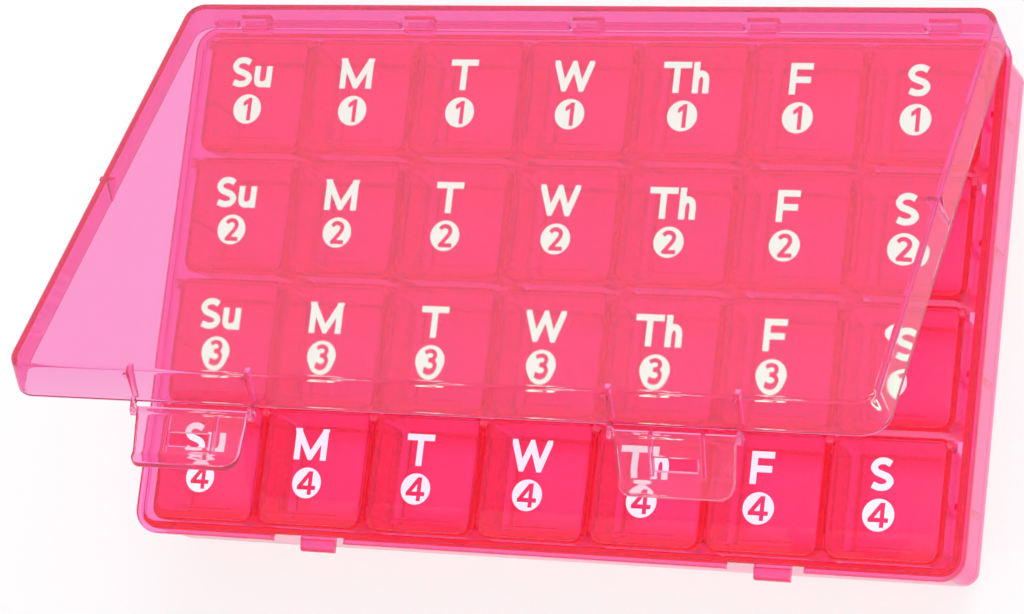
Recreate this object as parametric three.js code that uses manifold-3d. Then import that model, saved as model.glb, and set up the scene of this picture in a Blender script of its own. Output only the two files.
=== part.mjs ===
// A monthly pill organizer: a shallow tray with a hinged outer lid and two latches,
// four lift-out weekly strips of seven tubs, and a hinged lid on every tub.
// Millimetres. +X runs along the hinge, -Y is the latch side and +Z is up.
// The origin is the centre of the tray's underside. The outer lid stands open.
import * as THREE from "three";
import { mergeVertices } from "three/addons/utils/BufferGeometryUtils.js";
import Module from "manifold-3d";

const wasm = await Module();
wasm.setup();

// Counts
const weeks = 4;
const days = 7;

// Clearances that several pieces share
const seatGap = 0.3;
const runningGap = 0.2;
const overrun = 2;

// One tub of a weekly strip
const tub = {
  width: 23.6,
  depth: 24.6,
  height: 17.2,
  slot: 0.4,
  wall: 1.1,
  floor: 1.2,
  draft: 1.1,
  edge: 0.8,
  frontRadius: 2.9,
  backRadius: 2.2,
  scoopLength: 5.6,
  scoopHeight: 8,
  webFrontGap: 5,
  webBackGap: 4,
  webDrop: 0.4,
  webDepth: 2.2,
};

// The lid of one tub
const dayLid = {
  sideInset: 0.8,
  frontInset: 0.4,
  thickness: 1.4,
  edge: 0.45,
  frontRadius: 2.5,
  backRadius: 1.4,
  axisInset: 1.5,
  pinRadius: 0.42,
  pinLength: 0.85,
  pinRoot: 0.6,
  tabWidth: 12.4,
  tabDepth: 0.9,
  tabDrop: 0.5,
};

// The upright ears of a strip that hold the pins of its lids
const ear = {
  thickness: 1.4,
  endThickness: 0.9,
  rim: 0.38,
  root: 2.2,
};

// The tray
const tray = {
  floor: 1.5,
  rowGap: 1.2,
  endGap: 1.8,
  flangeDrop: 0.8,
  flangeThickness: 1.6,
  flangeOverhang: 1.2,
  lipHeight: 0.5,
  lipThickness: 1,
  baseInset: 1.8,
  baseEdge: 0.8,
  cornerRadius: 5,
  floorFillet: 1.2,
  ribWidth: 1.2,
  ribProud: 1.5,
  ribDrop: 3,
};

// The outer lid, as it is when closed
const cover = {
  headroom: 4.1,
  plate: 1.5,
  skirt: 1.1,
  draft: 0.9,
  edge: 1.1,
  openAngle: 32,
  gussetWidth: 1,
  gussetReach: 2.2,
};

// The long hinge along the back
const hinge = {
  pinRadius: 1,
  flangeRecess: 0.3,
  flangeGap: 0.4,
  rise: 0.1,
  endInset: 4.5,
  webThickness: 1.3,
  hookWidth: 6,
  hookWall: 0.85,
  hookGap: 0.25,
  hookSideGap: 0.5,
  hookEndInset: 6,
  notchHeight: 2.5,
};
const hookCount = 5;
const hookStartAngle = -215;
const hookEndAngle = 50;

// The two latches and their catches on the tray
const latch = {
  outward: 0.5,
  width: 23.4,
  taper: 0.8,
  thickness: 1.2,
  barrelRadius: 0.8,
  flangeGap: 0.5,
  drop: 0.8,
  straight: 8.2,
  flareLength: 3.4,
  cornerRadius: 2.4,
  slotWidth: 8.6,
  slotHeight: 2.7,
  slotDrop: 5.3,
  ribSpacing: 10,
  ribWidth: 0.8,
  ribProud: 0.8,
  pinRadius: 0.45,
  pinLength: 0.9,
  earThickness: 0.8,
  earWall: 0.4,
  earRise: 1.4,
  nibWidth: 7.4,
  nibHeight: 1.6,
  nibEngagement: 0.9,
  nibChamfer: 0.5,
  flangeNotch: 16,
};
const latchTubsOut = 2;
const leftLatchOpenAngle = 60;
const rightLatchOpenAngle = 32;
const latchFlareAngle = 35;
const latchClosedLean = 5;

// Sides of the round shapes
const cornerSteps = 4;
const tubCornerSteps = 2;
const dayLidCornerSteps = 3;
const scoopSteps = 2;
const pinSides = 10;
const smallPinSides = 8;
const hookSteps = 9;

// The smallest corner radius that a round-cornered outline keeps, as a share of its width
const leastRadiusShare = 0.001;

// Points nearer than this share of the slot between two tubs are one point
const weldShare = 0.001;

// Sizes that follow from the ones above
const pitchX = tub.width + tub.slot;
const pitchY = tub.depth + tray.rowGap;
const stripLength = days * pitchX - tub.slot;
const latchX = latchTubsOut * pitchX + latch.outward;
const innerWidth = stripLength + 2 * tray.endGap;
const innerDepth = weeks * pitchY - tray.rowGap + 2 * seatGap;
const rimWidth = tray.lipThickness + seatGap + cover.skirt;
const outerWidth = innerWidth + 2 * rimWidth;
const outerDepth = innerDepth + 2 * rimWidth;

const stripBottom = tray.floor + seatGap;
const deckTop = stripBottom + tub.height;
const dayLidBottom = deckTop + seatGap;
const dayLidTop = dayLidBottom + dayLid.thickness;
const dayAxisY = tub.depth / 2 - dayLid.axisInset;
const dayAxisZ = dayLidBottom + dayLid.thickness / 2;
const earHole = dayLid.pinRadius + runningGap;
const earRadius = earHole + ear.rim;

const flangeTop = deckTop - tray.flangeDrop;
const flangeBottom = flangeTop - tray.flangeThickness;
const lipTop = flangeTop + tray.lipHeight;
const skirtBottom = flangeTop + seatGap;
const plateBottom = dayLidTop + cover.headroom;
const coverTop = plateBottom + cover.plate;

const hingeY = outerDepth / 2 - hinge.flangeRecess + hinge.flangeGap + hinge.pinRadius;
const hingeZ = flangeTop + hinge.rise;
const hingePinLength = outerWidth - 2 * hinge.endInset;
const hookInner = hinge.pinRadius + hinge.hookGap;
const hookOuter = hookInner + hinge.hookWall;

const latchY = -outerDepth / 2 - latch.flangeGap - latch.barrelRadius;
const latchZ = skirtBottom - latch.drop;
const closedLean = THREE.MathUtils.degToRad(latchClosedLean);
const slotY = latchY + latch.slotDrop * Math.sin(closedLean);
const slotZ = latchZ - latch.slotDrop * Math.cos(closedLean);

// Materials: tinted clear plastic, a little deeper in colour where pieces lie over each other
const pinkPlastic = (colour) =>
  new THREE.MeshStandardMaterial({
    color: colour,
    roughness: 0.08,
    metalness: 0,
    transparent: true,
    opacity: 0.6,
  });
const trayPlastic = pinkPlastic(0xf0609c);
const stripPlastic = pinkPlastic(0xff2f63);
const dayLidPlastic = pinkPlastic(0xff5f93);
const coverPlastic = pinkPlastic(0xf29bd0);

// The outline of a round-cornered rectangle, with its own radius on the front and back corners
function box(width, depth, frontRadius, backRadius = frontRadius) {
  return {
    left: -width / 2,
    right: width / 2,
    front: -depth / 2,
    back: depth / 2,
    frontRadius,
    backRadius,
  };
}

function inset(outline, amount, frontAmount = amount) {
  const least = (outline.right - outline.left) * leastRadiusShare;
  return {
    left: outline.left + amount,
    right: outline.right - amount,
    front: outline.front + frontAmount,
    back: outline.back - amount,
    frontRadius: Math.max(outline.frontRadius - amount, least),
    backRadius: Math.max(outline.backRadius - amount, least),
  };
}

// The points of an outline at one height, anticlockwise seen from above
function ring(outline, z, steps) {
  const { left, right, front, back, frontRadius, backRadius } = outline;
  const corners = [
    [right - frontRadius, front + frontRadius, frontRadius, -90],
    [right - backRadius, back - backRadius, backRadius, 0],
    [left + backRadius, back - backRadius, backRadius, 90],
    [left + frontRadius, front + frontRadius, frontRadius, 180],
  ];
  const points = [];
  for (const [x, y, radius, start] of corners) {
    for (let step = 0; step <= steps; step += 1) {
      const angle = THREE.MathUtils.degToRad(start + (90 * step) / steps);
      points.push([x + radius * Math.cos(angle), y + radius * Math.sin(angle), z]);
    }
  }
  return points;
}

// A closed solid through rings of points, from the lowest ring to the highest
function loft(rings) {
  const count = rings[0].length;
  const triangles = [];
  for (let level = 0; level + 1 < rings.length; level += 1) {
    for (let index = 0; index < count; index += 1) {
      const next = (index + 1) % count;
      const low = level * count;
      const high = low + count;
      triangles.push(low + index, low + next, high + next);
      triangles.push(low + index, high + next, high + index);
    }
  }
  const top = (rings.length - 1) * count;
  for (let index = 1; index + 1 < count; index += 1) {
    triangles.push(0, index + 1, index);
    triangles.push(top, top + index, top + index + 1);
  }
  const geometry = new THREE.BufferGeometry();
  geometry.setAttribute("position", new THREE.Float32BufferAttribute(rings.flat(2), 3));
  geometry.setIndex(triangles);
  return toSolid(geometry);
}

// A closed solid with one outline in Y and Z, from one X to another
function prism(profile, fromX, toX) {
  const shape = new THREE.Shape(profile.map(([y, z]) => new THREE.Vector2(y, z)));
  const geometry = new THREE.ExtrudeGeometry(shape, { depth: toX - fromX, bevelEnabled: false });
  const turn = new THREE.Matrix4().makeBasis(
    new THREE.Vector3(0, 1, 0),
    new THREE.Vector3(0, 0, 1),
    new THREE.Vector3(1, 0, 0),
  );
  geometry.applyMatrix4(turn);
  geometry.translate(fromX, 0, 0);
  return toSolid(geometry);
}

function block(fromX, toX, fromY, toY, fromZ, toZ) {
  const geometry = new THREE.BoxGeometry(toX - fromX, toY - fromY, toZ - fromZ);
  geometry.translate((fromX + toX) / 2, (fromY + toY) / 2, (fromZ + toZ) / 2);
  return toSolid(geometry);
}

function circle(y, z, radius, sides) {
  const points = [];
  for (let side = 0; side < sides; side += 1) {
    const angle = (2 * Math.PI * side + Math.PI) / sides;
    points.push([y + radius * Math.cos(angle), z + radius * Math.sin(angle)]);
  }
  return points;
}

function rod(y, z, radius, fromX, toX, sides) {
  return prism(circle(y, z, radius, sides), fromX, toX);
}

function toSolid(geometry) {
  const bare = geometry.clone();
  bare.deleteAttribute("normal");
  bare.deleteAttribute("uv");
  const merged = mergeVertices(bare, tub.slot * weldShare);
  return new wasm.Manifold(
    new wasm.Mesh({
      numProp: 3,
      vertProperties: merged.attributes.position.array,
      triVerts: new Uint32Array(merged.index.array),
    }),
  );
}

function toMesh(solid, name, material) {
  const { numProp, vertProperties, triVerts } = solid.getMesh();
  const geometry = new THREE.BufferGeometry();
  const positions = new THREE.InterleavedBuffer(vertProperties, numProp);
  geometry.setAttribute("position", new THREE.InterleavedBufferAttribute(positions, 3, 0));
  geometry.setIndex(new THREE.BufferAttribute(triVerts, 1));
  const flat = geometry.toNonIndexed();
  flat.computeVertexNormals();
  const mesh = new THREE.Mesh(flat, material);
  mesh.name = name;
  return mesh;
}

const join = (solids) => solids.reduce((sum, solid) => sum.add(solid));

// A group that turns its meshes about an axis along X, by an angle in degrees that swings -Y upwards
function swung(axisY, axisZ, angle) {
  const group = new THREE.Group();
  group.position.set(0, axisY, axisZ);
  group.rotation.x = -THREE.MathUtils.degToRad(angle);
  return group;
}

const dayX = (day) => (day - (days - 1) / 2) * pitchX;
const weekY = (week) => ((weeks - 1) / 2 - week) * pitchY;

// The tray: floor, drafted walls, a flange for the skirt to stand over and a lip inside it
function makeTray() {
  const flange = box(outerWidth, outerDepth, tray.cornerRadius);
  const base = inset(flange, tray.baseInset);
  const wallTop = inset(flange, tray.flangeOverhang);
  const lip = inset(flange, cover.skirt + seatGap);
  const outside = loft([
    ring(inset(base, tray.baseEdge), 0, cornerSteps),
    ring(base, tray.baseEdge, cornerSteps),
    ring(wallTop, flangeBottom, cornerSteps),
    ring(flange, flangeBottom, cornerSteps),
    ring(flange, flangeTop, cornerSteps),
    ring(lip, flangeTop, cornerSteps),
    ring(lip, lipTop, cornerSteps),
  ]);
  const mouth = inset(lip, tray.lipThickness);
  const cavityBottom = inset(mouth, tray.baseInset - tray.flangeOverhang);
  const inside = loft([
    ring(inset(cavityBottom, tray.floorFillet), tray.floor, cornerSteps),
    ring(cavityBottom, tray.floor + tray.floorFillet, cornerSteps),
    ring(mouth, lipTop, cornerSteps),
    ring(mouth, lipTop + overrun, cornerSteps),
  ]);
  let body = outside.subtract(inside);

  // The flange is set back along the hinge and behind each latch
  const hingeHalf = hingePinLength / 2 + seatGap;
  const backEdge = outerDepth / 2;
  const recess = [-hingeHalf, hingeHalf, backEdge - hinge.flangeRecess, backEdge + overrun];
  body = body.subtract(block(...recess, flangeBottom - overrun, flangeTop));
  const wallFace = -outerDepth / 2 + tray.flangeOverhang;
  for (const side of [-1, 1]) {
    const centre = side * latchX;
    const notch = [centre - latch.flangeNotch / 2, centre + latch.flangeNotch / 2];
    body = body.subtract(
      block(...notch, -outerDepth / 2 - overrun, wallFace, flangeBottom - overrun, flangeTop),
    );
    body = body.add(makeNib(centre));
  }

  // A pair of upright ribs centres each strip
  const ribFace = innerWidth / 2 - tray.ribProud;
  const ribRoot = innerWidth / 2 + tray.lipThickness / 5;
  for (let week = 0; week < weeks; week += 1) {
    const low = weekY(week) - tray.ribWidth / 2;
    const high = low + tray.ribWidth;
    const ribTop = flangeTop - tray.ribDrop;
    body = body.add(block(ribFace, ribRoot, low, high, tray.floor / 2, ribTop));
    body = body.add(block(-ribRoot, -ribFace, low, high, tray.floor / 2, ribTop));
  }
  for (let index = 0; index < hookCount; index += 1) {
    body = body.add(makeHook(hookX(index)));
  }
  return toMesh(body, "tray", trayPlastic);
}

// The catch that a latch's slot drops over
function makeNib(centre) {
  const tip = slotY + latch.thickness / 2 - latch.nibEngagement;
  const root = -innerDepth / 2 - tray.lipThickness / 2;
  const top = slotZ + latch.nibHeight / 2;
  const bottom = slotZ - latch.nibHeight / 2;
  const profile = [
    [root, bottom],
    [root, top + latch.nibChamfer],
    [tip + latch.nibChamfer, top],
    [tip, top - latch.nibChamfer],
    [tip, bottom],
  ];
  return prism(profile.reverse(), centre - latch.nibWidth / 2, centre + latch.nibWidth / 2);
}

function hookX(index) {
  const reach = hingePinLength / 2 - hinge.hookEndInset - hinge.hookWidth / 2;
  return reach * ((2 * index) / (hookCount - 1) - 1);
}

// A hook that snaps round the hinge pin, with a foot to the tray's back wall
function makeHook(centre) {
  const fromX = centre - hinge.hookWidth / 2;
  const toX = centre + hinge.hookWidth / 2;
  const outer = [];
  const inner = [];
  for (let step = 0; step <= hookSteps; step += 1) {
    const degrees = hookStartAngle + ((hookEndAngle - hookStartAngle) * step) / hookSteps;
    const angle = THREE.MathUtils.degToRad(degrees);
    const [along, up] = [Math.cos(angle), Math.sin(angle)];
    outer.push([hingeY + hookOuter * along, hingeZ + hookOuter * up]);
    inner.unshift([hingeY + hookInner * along, hingeZ + hookInner * up]);
  }
  const curl = prism([...outer, ...inner], fromX, toX);
  const footBottom = hingeZ - hookOuter;
  const footRoot = innerDepth / 2 + tray.lipThickness / 2;
  const foot = block(fromX, toX, footRoot, hingeY, footBottom, footBottom + hinge.hookWall);
  return curl.add(foot).subtract(rod(hingeY, hingeZ, hookInner, fromX, toX, pinSides * 2));
}

// The outer lid in its closed place: plate, drafted skirt, hinge pin on a web, latch ears, gussets
function makeCover() {
  const skirtFoot = box(outerWidth, outerDepth, tray.cornerRadius);
  const shoulder = inset(skirtFoot, cover.draft);
  const midEdge = cover.edge * (1 - Math.SQRT1_2);
  const outside = loft([
    ring(skirtFoot, skirtBottom, cornerSteps),
    ring(shoulder, coverTop - cover.edge, cornerSteps),
    ring(inset(shoulder, midEdge), coverTop - midEdge, cornerSteps),
    ring(inset(shoulder, cover.edge), coverTop, cornerSteps),
  ]);
  const inside = loft([
    ring(inset(skirtFoot, cover.skirt), skirtBottom - overrun, cornerSteps),
    ring(inset(skirtFoot, cover.skirt), skirtBottom, cornerSteps),
    ring(inset(shoulder, cover.skirt), plateBottom, cornerSteps),
  ]);
  let body = outside.subtract(inside);
  body = body.add(makeHingeWeb());
  for (let index = 0; index < hookCount; index += 1) {
    const half = hinge.hookWidth / 2 + hinge.hookSideGap;
    const span = [hookX(index) - half, hookX(index) + half];
    const across = [innerDepth / 2, hingeY + hookOuter + overrun];
    const notchTop = skirtBottom + hinge.notchHeight;
    body = body.subtract(block(...span, ...across, skirtBottom - overrun, notchTop));
  }
  const half = hingePinLength / 2;
  body = body.add(rod(hingeY, hingeZ, hinge.pinRadius, -half, half, pinSides));
  for (const side of [-1, 1]) {
    for (const end of [-1, 1]) {
      body = body.add(makeLatchEar(side * latchX, end));
      body = body.add(makeFrontGusset(side * latchX + end * earCentre()));
    }
    body = body.add(makeSideGusset(side));
  }
  return toMesh(body, "outer_lid", coverPlastic);
}

// The web that joins the skirt's back to the hinge pin
function makeHingeWeb() {
  const half = hingePinLength / 2;
  const skirtFace = outerDepth / 2 - cover.skirt / 2;
  const profile = [
    [skirtFace, skirtBottom],
    [hingeY - hinge.pinRadius / 2, hingeZ - hinge.pinRadius / 2],
    [hingeY + hinge.pinRadius / 2, hingeZ + hinge.pinRadius / 2],
    [outerDepth / 2, skirtBottom + hinge.webThickness],
    [skirtFace, skirtBottom + hinge.webThickness],
  ];
  return prism(profile, -half, half);
}

const earCentre = () => latch.width / 2 + seatGap + latch.earThickness / 2;

// A small ear at one end of a latch, with the hole for the latch's pin
function makeLatchEar(centre, end) {
  const fromX = centre + end * earCentre() - latch.earThickness / 2;
  const toX = fromX + latch.earThickness;
  const holeRadius = latch.pinRadius + runningGap;
  const outerRadius = holeRadius + latch.earWall;
  const skirtFace = -outerDepth / 2 + cover.skirt / 2;
  const clearOfFlange = -outerDepth / 2 - seatGap;
  const profile = [
    [clearOfFlange, latchZ - outerRadius],
    [clearOfFlange, skirtBottom],
    [skirtFace, skirtBottom],
    [skirtFace, skirtBottom + latch.earRise],
    [-outerDepth / 2, skirtBottom + latch.earRise],
    [latchY - outerRadius, latchZ + outerRadius],
    [latchY - outerRadius, latchZ - outerRadius / 2],
    [latchY - outerRadius / 2, latchZ - outerRadius],
  ];
  const plate = prism(profile, fromX, toX);
  const hole = rod(latchY, latchZ, holeRadius, fromX - overrun, toX + overrun, pinSides);
  return plate.subtract(hole);
}

// Triangular gussets stiffen the skirt above the tray's lip
function gussetProfile(face, inward) {
  const foot = lipTop + seatGap;
  return [
    [face, foot],
    [face + inward * cover.gussetReach, plateBottom],
    [face + inward * cover.gussetReach, plateBottom + cover.plate / 2],
    [face - inward * cover.skirt, plateBottom + cover.plate / 2],
    [face - (inward * cover.skirt) / 2, foot],
  ];
}

function makeFrontGusset(x) {
  const face = -outerDepth / 2 + cover.draft / 2 + cover.skirt;
  const half = cover.gussetWidth / 2;
  return prism(gussetProfile(face, 1).reverse(), x - half, x + half);
}

function makeSideGusset(side) {
  const face = outerWidth / 2 - cover.draft / 2 - cover.skirt;
  const half = cover.gussetWidth / 2;
  const upright = new THREE.Shape(
    gussetProfile(face, -1).map(([across, z]) => new THREE.Vector2(side * across, z)),
  );
  const depth = cover.gussetWidth;
  const geometry = new THREE.ExtrudeGeometry(upright, { depth, bevelEnabled: false });
  geometry.rotateX(Math.PI / 2);
  geometry.translate(0, half, 0);
  return toSolid(geometry);
}

// A latch hanging straight down from its barrel: a flap with a slot, two ribs and a flared foot
function makeLatch(name, centre) {
  const halfThick = latch.thickness / 2;
  const flare = THREE.MathUtils.degToRad(latchFlareAngle);
  const bendZ = latchZ - latch.straight;
  const footY = latchY - latch.flareLength * Math.sin(flare);
  const footZ = bendZ - latch.flareLength * Math.cos(flare);
  const bendShift = halfThick * Math.tan(flare / 2);
  const footAlong = halfThick * Math.cos(flare);
  const footAcross = halfThick * Math.sin(flare);
  const profile = [
    [latchY - halfThick, latchZ],
    [latchY - halfThick, bendZ + bendShift],
    [footY - footAlong, footZ + footAcross],
    [footY + footAlong, footZ - footAcross],
    [latchY + halfThick, bendZ - bendShift],
    [latchY + halfThick, latchZ],
  ];
  const half = latch.width / 2;
  let body = prism(profile, centre - half, centre + half);
  body = body.intersect(latchOutline(centre, footZ - halfThick));
  body = body.add(rod(latchY, latchZ, latch.barrelRadius, centre - half, centre + half, pinSides));

  const ribFace = latchY + halfThick + latch.ribProud;
  for (const end of [-1, 1]) {
    const ribX = centre + (end * latch.ribSpacing) / 2;
    const span = [ribX - latch.ribWidth / 2, ribX + latch.ribWidth / 2];
    body = body.add(block(...span, latchY, ribFace, bendZ, latchZ));
    const root = centre + end * (half - latch.pinLength);
    const tip = centre + end * (half + seatGap + latch.pinLength);
    const pin = [Math.min(root, tip), Math.max(root, tip), smallPinSides];
    body = body.add(rod(latchY, latchZ, latch.pinRadius, ...pin));
  }
  const slot = block(
    centre - latch.slotWidth / 2,
    centre + latch.slotWidth / 2,
    latchY - halfThick - overrun,
    ribFace + overrun,
    latchZ - latch.slotDrop - latch.slotHeight / 2,
    latchZ - latch.slotDrop + latch.slotHeight / 2,
  );
  return toMesh(body.subtract(slot), name, coverPlastic);
}

// The latch seen from the front: sides that draw in a little and round lower corners
function latchOutline(centre, bottom) {
  const half = latch.width / 2;
  const foot = half - latch.taper;
  const radius = latch.cornerRadius;
  const points = [
    [half, latchZ + latch.barrelRadius],
    [-half, latchZ + latch.barrelRadius],
  ];
  for (const side of [-1, 1]) {
    for (let step = 0; step <= cornerSteps; step += 1) {
      const share = side < 0 ? step / cornerSteps : 1 - step / cornerSteps;
      const angle = (Math.PI / 2) * share;
      const x = side * (foot - radius + radius * Math.cos(angle));
      points.push([x, bottom + radius - radius * Math.sin(angle)]);
    }
  }
  const shape = new THREE.Shape(points.map(([x, z]) => new THREE.Vector2(x, z)));
  const depth = outerDepth / 2;
  const geometry = new THREE.ExtrudeGeometry(shape, { depth, bevelEnabled: false });
  geometry.rotateX(Math.PI / 2);
  geometry.translate(centre, latchY + depth / 2, 0);
  return toSolid(geometry);
}

// One strip: seven tubs joined by webs and by the ears between their lids
function makeStrip(week) {
  const centreY = weekY(week);
  const parts = [];
  const cavities = [];
  for (let day = 0; day < days; day += 1) {
    parts.push(makeTubOutside().translate([dayX(day), centreY, 0]));
    cavities.push(makeTubInside().translate([dayX(day), centreY, 0]));
  }
  const webFront = centreY - tub.depth / 2 + tub.webFrontGap;
  const webBack = centreY + tub.depth / 2 - tub.webBackGap;
  const webTop = deckTop - tub.webDrop;
  for (let day = 0; day + 1 < days; day += 1) {
    const boundary = dayX(day) + pitchX / 2;
    const reach = tub.slot / 2 + tub.wall / 2;
    const span = [boundary - reach, boundary + reach];
    parts.push(block(...span, webFront, webBack, webTop - tub.webDepth, webTop));
    parts.push(makeEar(boundary - ear.thickness / 2, ear.thickness, centreY));
  }
  const endFace = dayX(days - 1) + tub.width / 2 - dayLid.sideInset + seatGap;
  parts.push(makeEar(endFace, ear.endThickness, centreY));
  parts.push(makeEar(-endFace - ear.endThickness, ear.endThickness, centreY));
  const body = cavities.reduce((sum, cavity) => sum.subtract(cavity), join(parts));
  return toMesh(body, `week_${week + 1}_strip`, stripPlastic);
}

const tubBox = () => box(tub.width, tub.depth, tub.frontRadius, tub.backRadius);

function makeTubOutside() {
  const mouth = tubBox();
  const foot = inset(mouth, tub.draft);
  return loft([
    ring(inset(foot, tub.edge), stripBottom, tubCornerSteps),
    ring(foot, stripBottom + tub.edge, tubCornerSteps),
    ring(mouth, deckTop, tubCornerSteps),
  ]);
}

// The hollow of a tub, with a curved scoop up its front wall
function makeTubInside() {
  const mouth = inset(tubBox(), tub.wall);
  const floorZ = stripBottom + tub.floor;
  const rings = [];
  for (let step = 0; step <= scoopSteps; step += 1) {
    const angle = (Math.PI / 2) * (step / scoopSteps);
    const rise = tub.scoopHeight * (1 - Math.cos(angle));
    const run = tub.scoopLength * (1 - Math.sin(angle));
    const drawn = tub.draft * (1 - (floorZ + rise - stripBottom) / tub.height);
    const toe = tub.edge * (1 - Math.sin(angle));
    rings.push(ring(inset(mouth, drawn + toe, drawn + run), floorZ + rise, tubCornerSteps));
  }
  rings.push(ring(mouth, deckTop, tubCornerSteps));
  rings.push(ring(mouth, deckTop + overrun, tubCornerSteps));
  return loft(rings);
}

// An upright ear with a hole for the pins of the lids beside it
function makeEar(fromX, thickness, centreY) {
  const y = centreY + dayAxisY;
  const foot = deckTop - ear.root;
  const arc = [];
  for (let step = 0; step <= tubCornerSteps; step += 1) {
    const angle = (Math.PI * step) / tubCornerSteps;
    arc.push([y + earRadius * Math.cos(angle), dayAxisZ + earRadius * Math.sin(angle)]);
  }
  const plate = prism([[y - earRadius, foot], [y + earRadius, foot], ...arc], fromX, fromX + thickness);
  const hole = [fromX - overrun, fromX + thickness + overrun, smallPinSides];
  return plate.subtract(rod(y, dayAxisZ, earHole, ...hole));
}

// The lid of one tub: a soft-edged plate that turns on two pins at its back, with a tab below
function makeDayLid(week, day) {
  const outline = box(
    tub.width - 2 * dayLid.sideInset,
    tub.depth,
    dayLid.frontRadius,
    dayLid.backRadius,
  );
  outline.front += dayLid.frontInset;
  outline.back = dayAxisY + dayLid.thickness / 2;
  const edge = dayLid.edge;
  let body = loft([
    ring(inset(outline, edge), dayLidBottom, dayLidCornerSteps),
    ring(outline, dayLidBottom + edge, dayLidCornerSteps),
    ring(outline, dayLidTop - edge, dayLidCornerSteps),
    ring(inset(outline, edge), dayLidTop, dayLidCornerSteps),
  ]);
  const tabFront = -tub.depth / 2 + tub.wall + seatGap + runningGap;
  const tabHalf = dayLid.tabWidth / 2;
  const tabBottom = dayLidBottom - dayLid.tabDrop;
  const tab = [-tabHalf, tabHalf, tabFront, tabFront + dayLid.tabDepth];
  body = body.add(block(...tab, tabBottom, dayLidBottom + dayLid.thickness / 2));
  const pinTip = tub.width / 2 - dayLid.sideInset + dayLid.pinLength;
  const pinRoot = tub.width / 2 - dayLid.sideInset - dayLid.pinRoot;
  for (const [fromX, toX] of [
    [-pinTip, -pinRoot],
    [pinRoot, pinTip],
  ]) {
    body = body.add(rod(dayAxisY, dayAxisZ, dayLid.pinRadius, fromX, toX, smallPinSides));
  }
  const mesh = toMesh(body, `day_lid_${week + 1}_${day + 1}`, dayLidPlastic);
  mesh.position.set(dayX(day), weekY(week), 0);
  return mesh;
}

// The outer lid swings on the long hinge and carries the latches, which swing on its ears
function makeLidAssembly() {
  const lid = swung(hingeY, hingeZ, cover.openAngle);
  const plate = makeCover();
  plate.position.set(0, -hingeY, -hingeZ);
  lid.add(plate);
  for (const [name, side, openAngle] of [
    ["latch_left", -1, leftLatchOpenAngle],
    ["latch_right", 1, rightLatchOpenAngle],
  ]) {
    const pivot = swung(latchY - hingeY, latchZ - hingeZ, openAngle);
    const flap = makeLatch(name, side * latchX);
    flap.position.set(0, -latchY, -latchZ);
    pivot.add(flap);
    lid.add(pivot);
  }
  return lid;
}

const organizer = new THREE.Group();
organizer.add(makeTray());
organizer.add(makeLidAssembly());
for (let week = 0; week < weeks; week += 1) {
  organizer.add(makeStrip(week));
  for (let day = 0; day < days; day += 1) {
    organizer.add(makeDayLid(week, day));
  }
}

export default organizer;
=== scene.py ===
import logging
import math
from dataclasses import dataclass
from enum import Enum
from typing import Sequence

import bmesh
import bpy
from mathutils import Matrix, Vector

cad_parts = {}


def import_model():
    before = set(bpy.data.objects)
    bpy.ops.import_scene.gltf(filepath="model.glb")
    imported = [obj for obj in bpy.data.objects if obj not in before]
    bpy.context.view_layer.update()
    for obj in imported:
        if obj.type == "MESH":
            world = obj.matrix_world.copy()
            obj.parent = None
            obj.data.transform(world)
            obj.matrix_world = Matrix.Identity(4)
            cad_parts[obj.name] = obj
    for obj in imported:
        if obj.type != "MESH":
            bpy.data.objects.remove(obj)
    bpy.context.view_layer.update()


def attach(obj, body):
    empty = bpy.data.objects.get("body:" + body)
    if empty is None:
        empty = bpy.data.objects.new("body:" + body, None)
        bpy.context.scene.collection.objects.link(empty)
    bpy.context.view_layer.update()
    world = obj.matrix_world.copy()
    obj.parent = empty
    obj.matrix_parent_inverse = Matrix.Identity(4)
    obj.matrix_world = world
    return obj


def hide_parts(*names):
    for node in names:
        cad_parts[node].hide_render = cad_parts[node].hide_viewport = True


LOG = logging.getLogger("pill_organizer")

MM = 0.001
WHITE = (1.0, 1.0, 1.0, 1.0)

# How far a cutting block reaches past the piece that it cuts, in millimetres
SPARE = 2.0

Point = tuple[float, float, float]
Section = list[tuple[float, float]]


class Day(Enum):
    """The seven days of a strip, each with the abbreviation on its lid."""

    SUNDAY = "Su"
    MONDAY = "M"
    TUESDAY = "T"
    WEDNESDAY = "W"
    THURSDAY = "Th"
    FRIDAY = "F"
    SATURDAY = "S"


class Working(Enum):
    """The ways in which one solid is worked with another."""

    JOIN = "UNION"
    CUT = "DIFFERENCE"
    TRIM = "INTERSECT"


# Colour and nodes


def linear(hex_colour: str) -> tuple[float, float, float]:
    """Turns an sRGB hex colour into linear red, green and blue.

    Args:
        hex_colour: Six hex digits, without a hash.

    Returns:
        The three linear values, from 0 to 1.
    """
    values = []
    for start in (0, 2, 4):
        value = int(hex_colour[start:start + 2], 16) / 255
        values.append(value / 12.92 if value <= 0.04045 else ((value + 0.055) / 1.055) ** 2.4)
    return values[0], values[1], values[2]


def add_node(
    tree: bpy.types.NodeTree,
    kind: str,
    settings: dict[str, object] | None = None,
    inputs: dict[str | int, object] | None = None,
) -> bpy.types.Node:
    """Adds one node with its settings, values and links.

    Args:
        tree: The node tree.
        kind: The node's type.
        settings: Properties of the node.
        inputs: Values, or output sockets to link, by input name or index.

    Returns:
        The new node.
    """
    node = tree.nodes.new(kind)
    for name, value in (settings or {}).items():
        setattr(node, name, value)
    for name, value in (inputs or {}).items():
        socket = node.inputs[name]
        if isinstance(value, bpy.types.NodeSocket):
            tree.links.new(value, socket)
        else:
            socket.default_value = value
    return node


def empty_material(name: str) -> bpy.types.Material:
    """Makes a material with an empty node tree.

    Args:
        name: The material's name.

    Returns:
        The material.
    """
    material = bpy.data.materials.new(name)
    material.use_nodes = True
    material.node_tree.nodes.clear()
    return material


# Finishes


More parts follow.
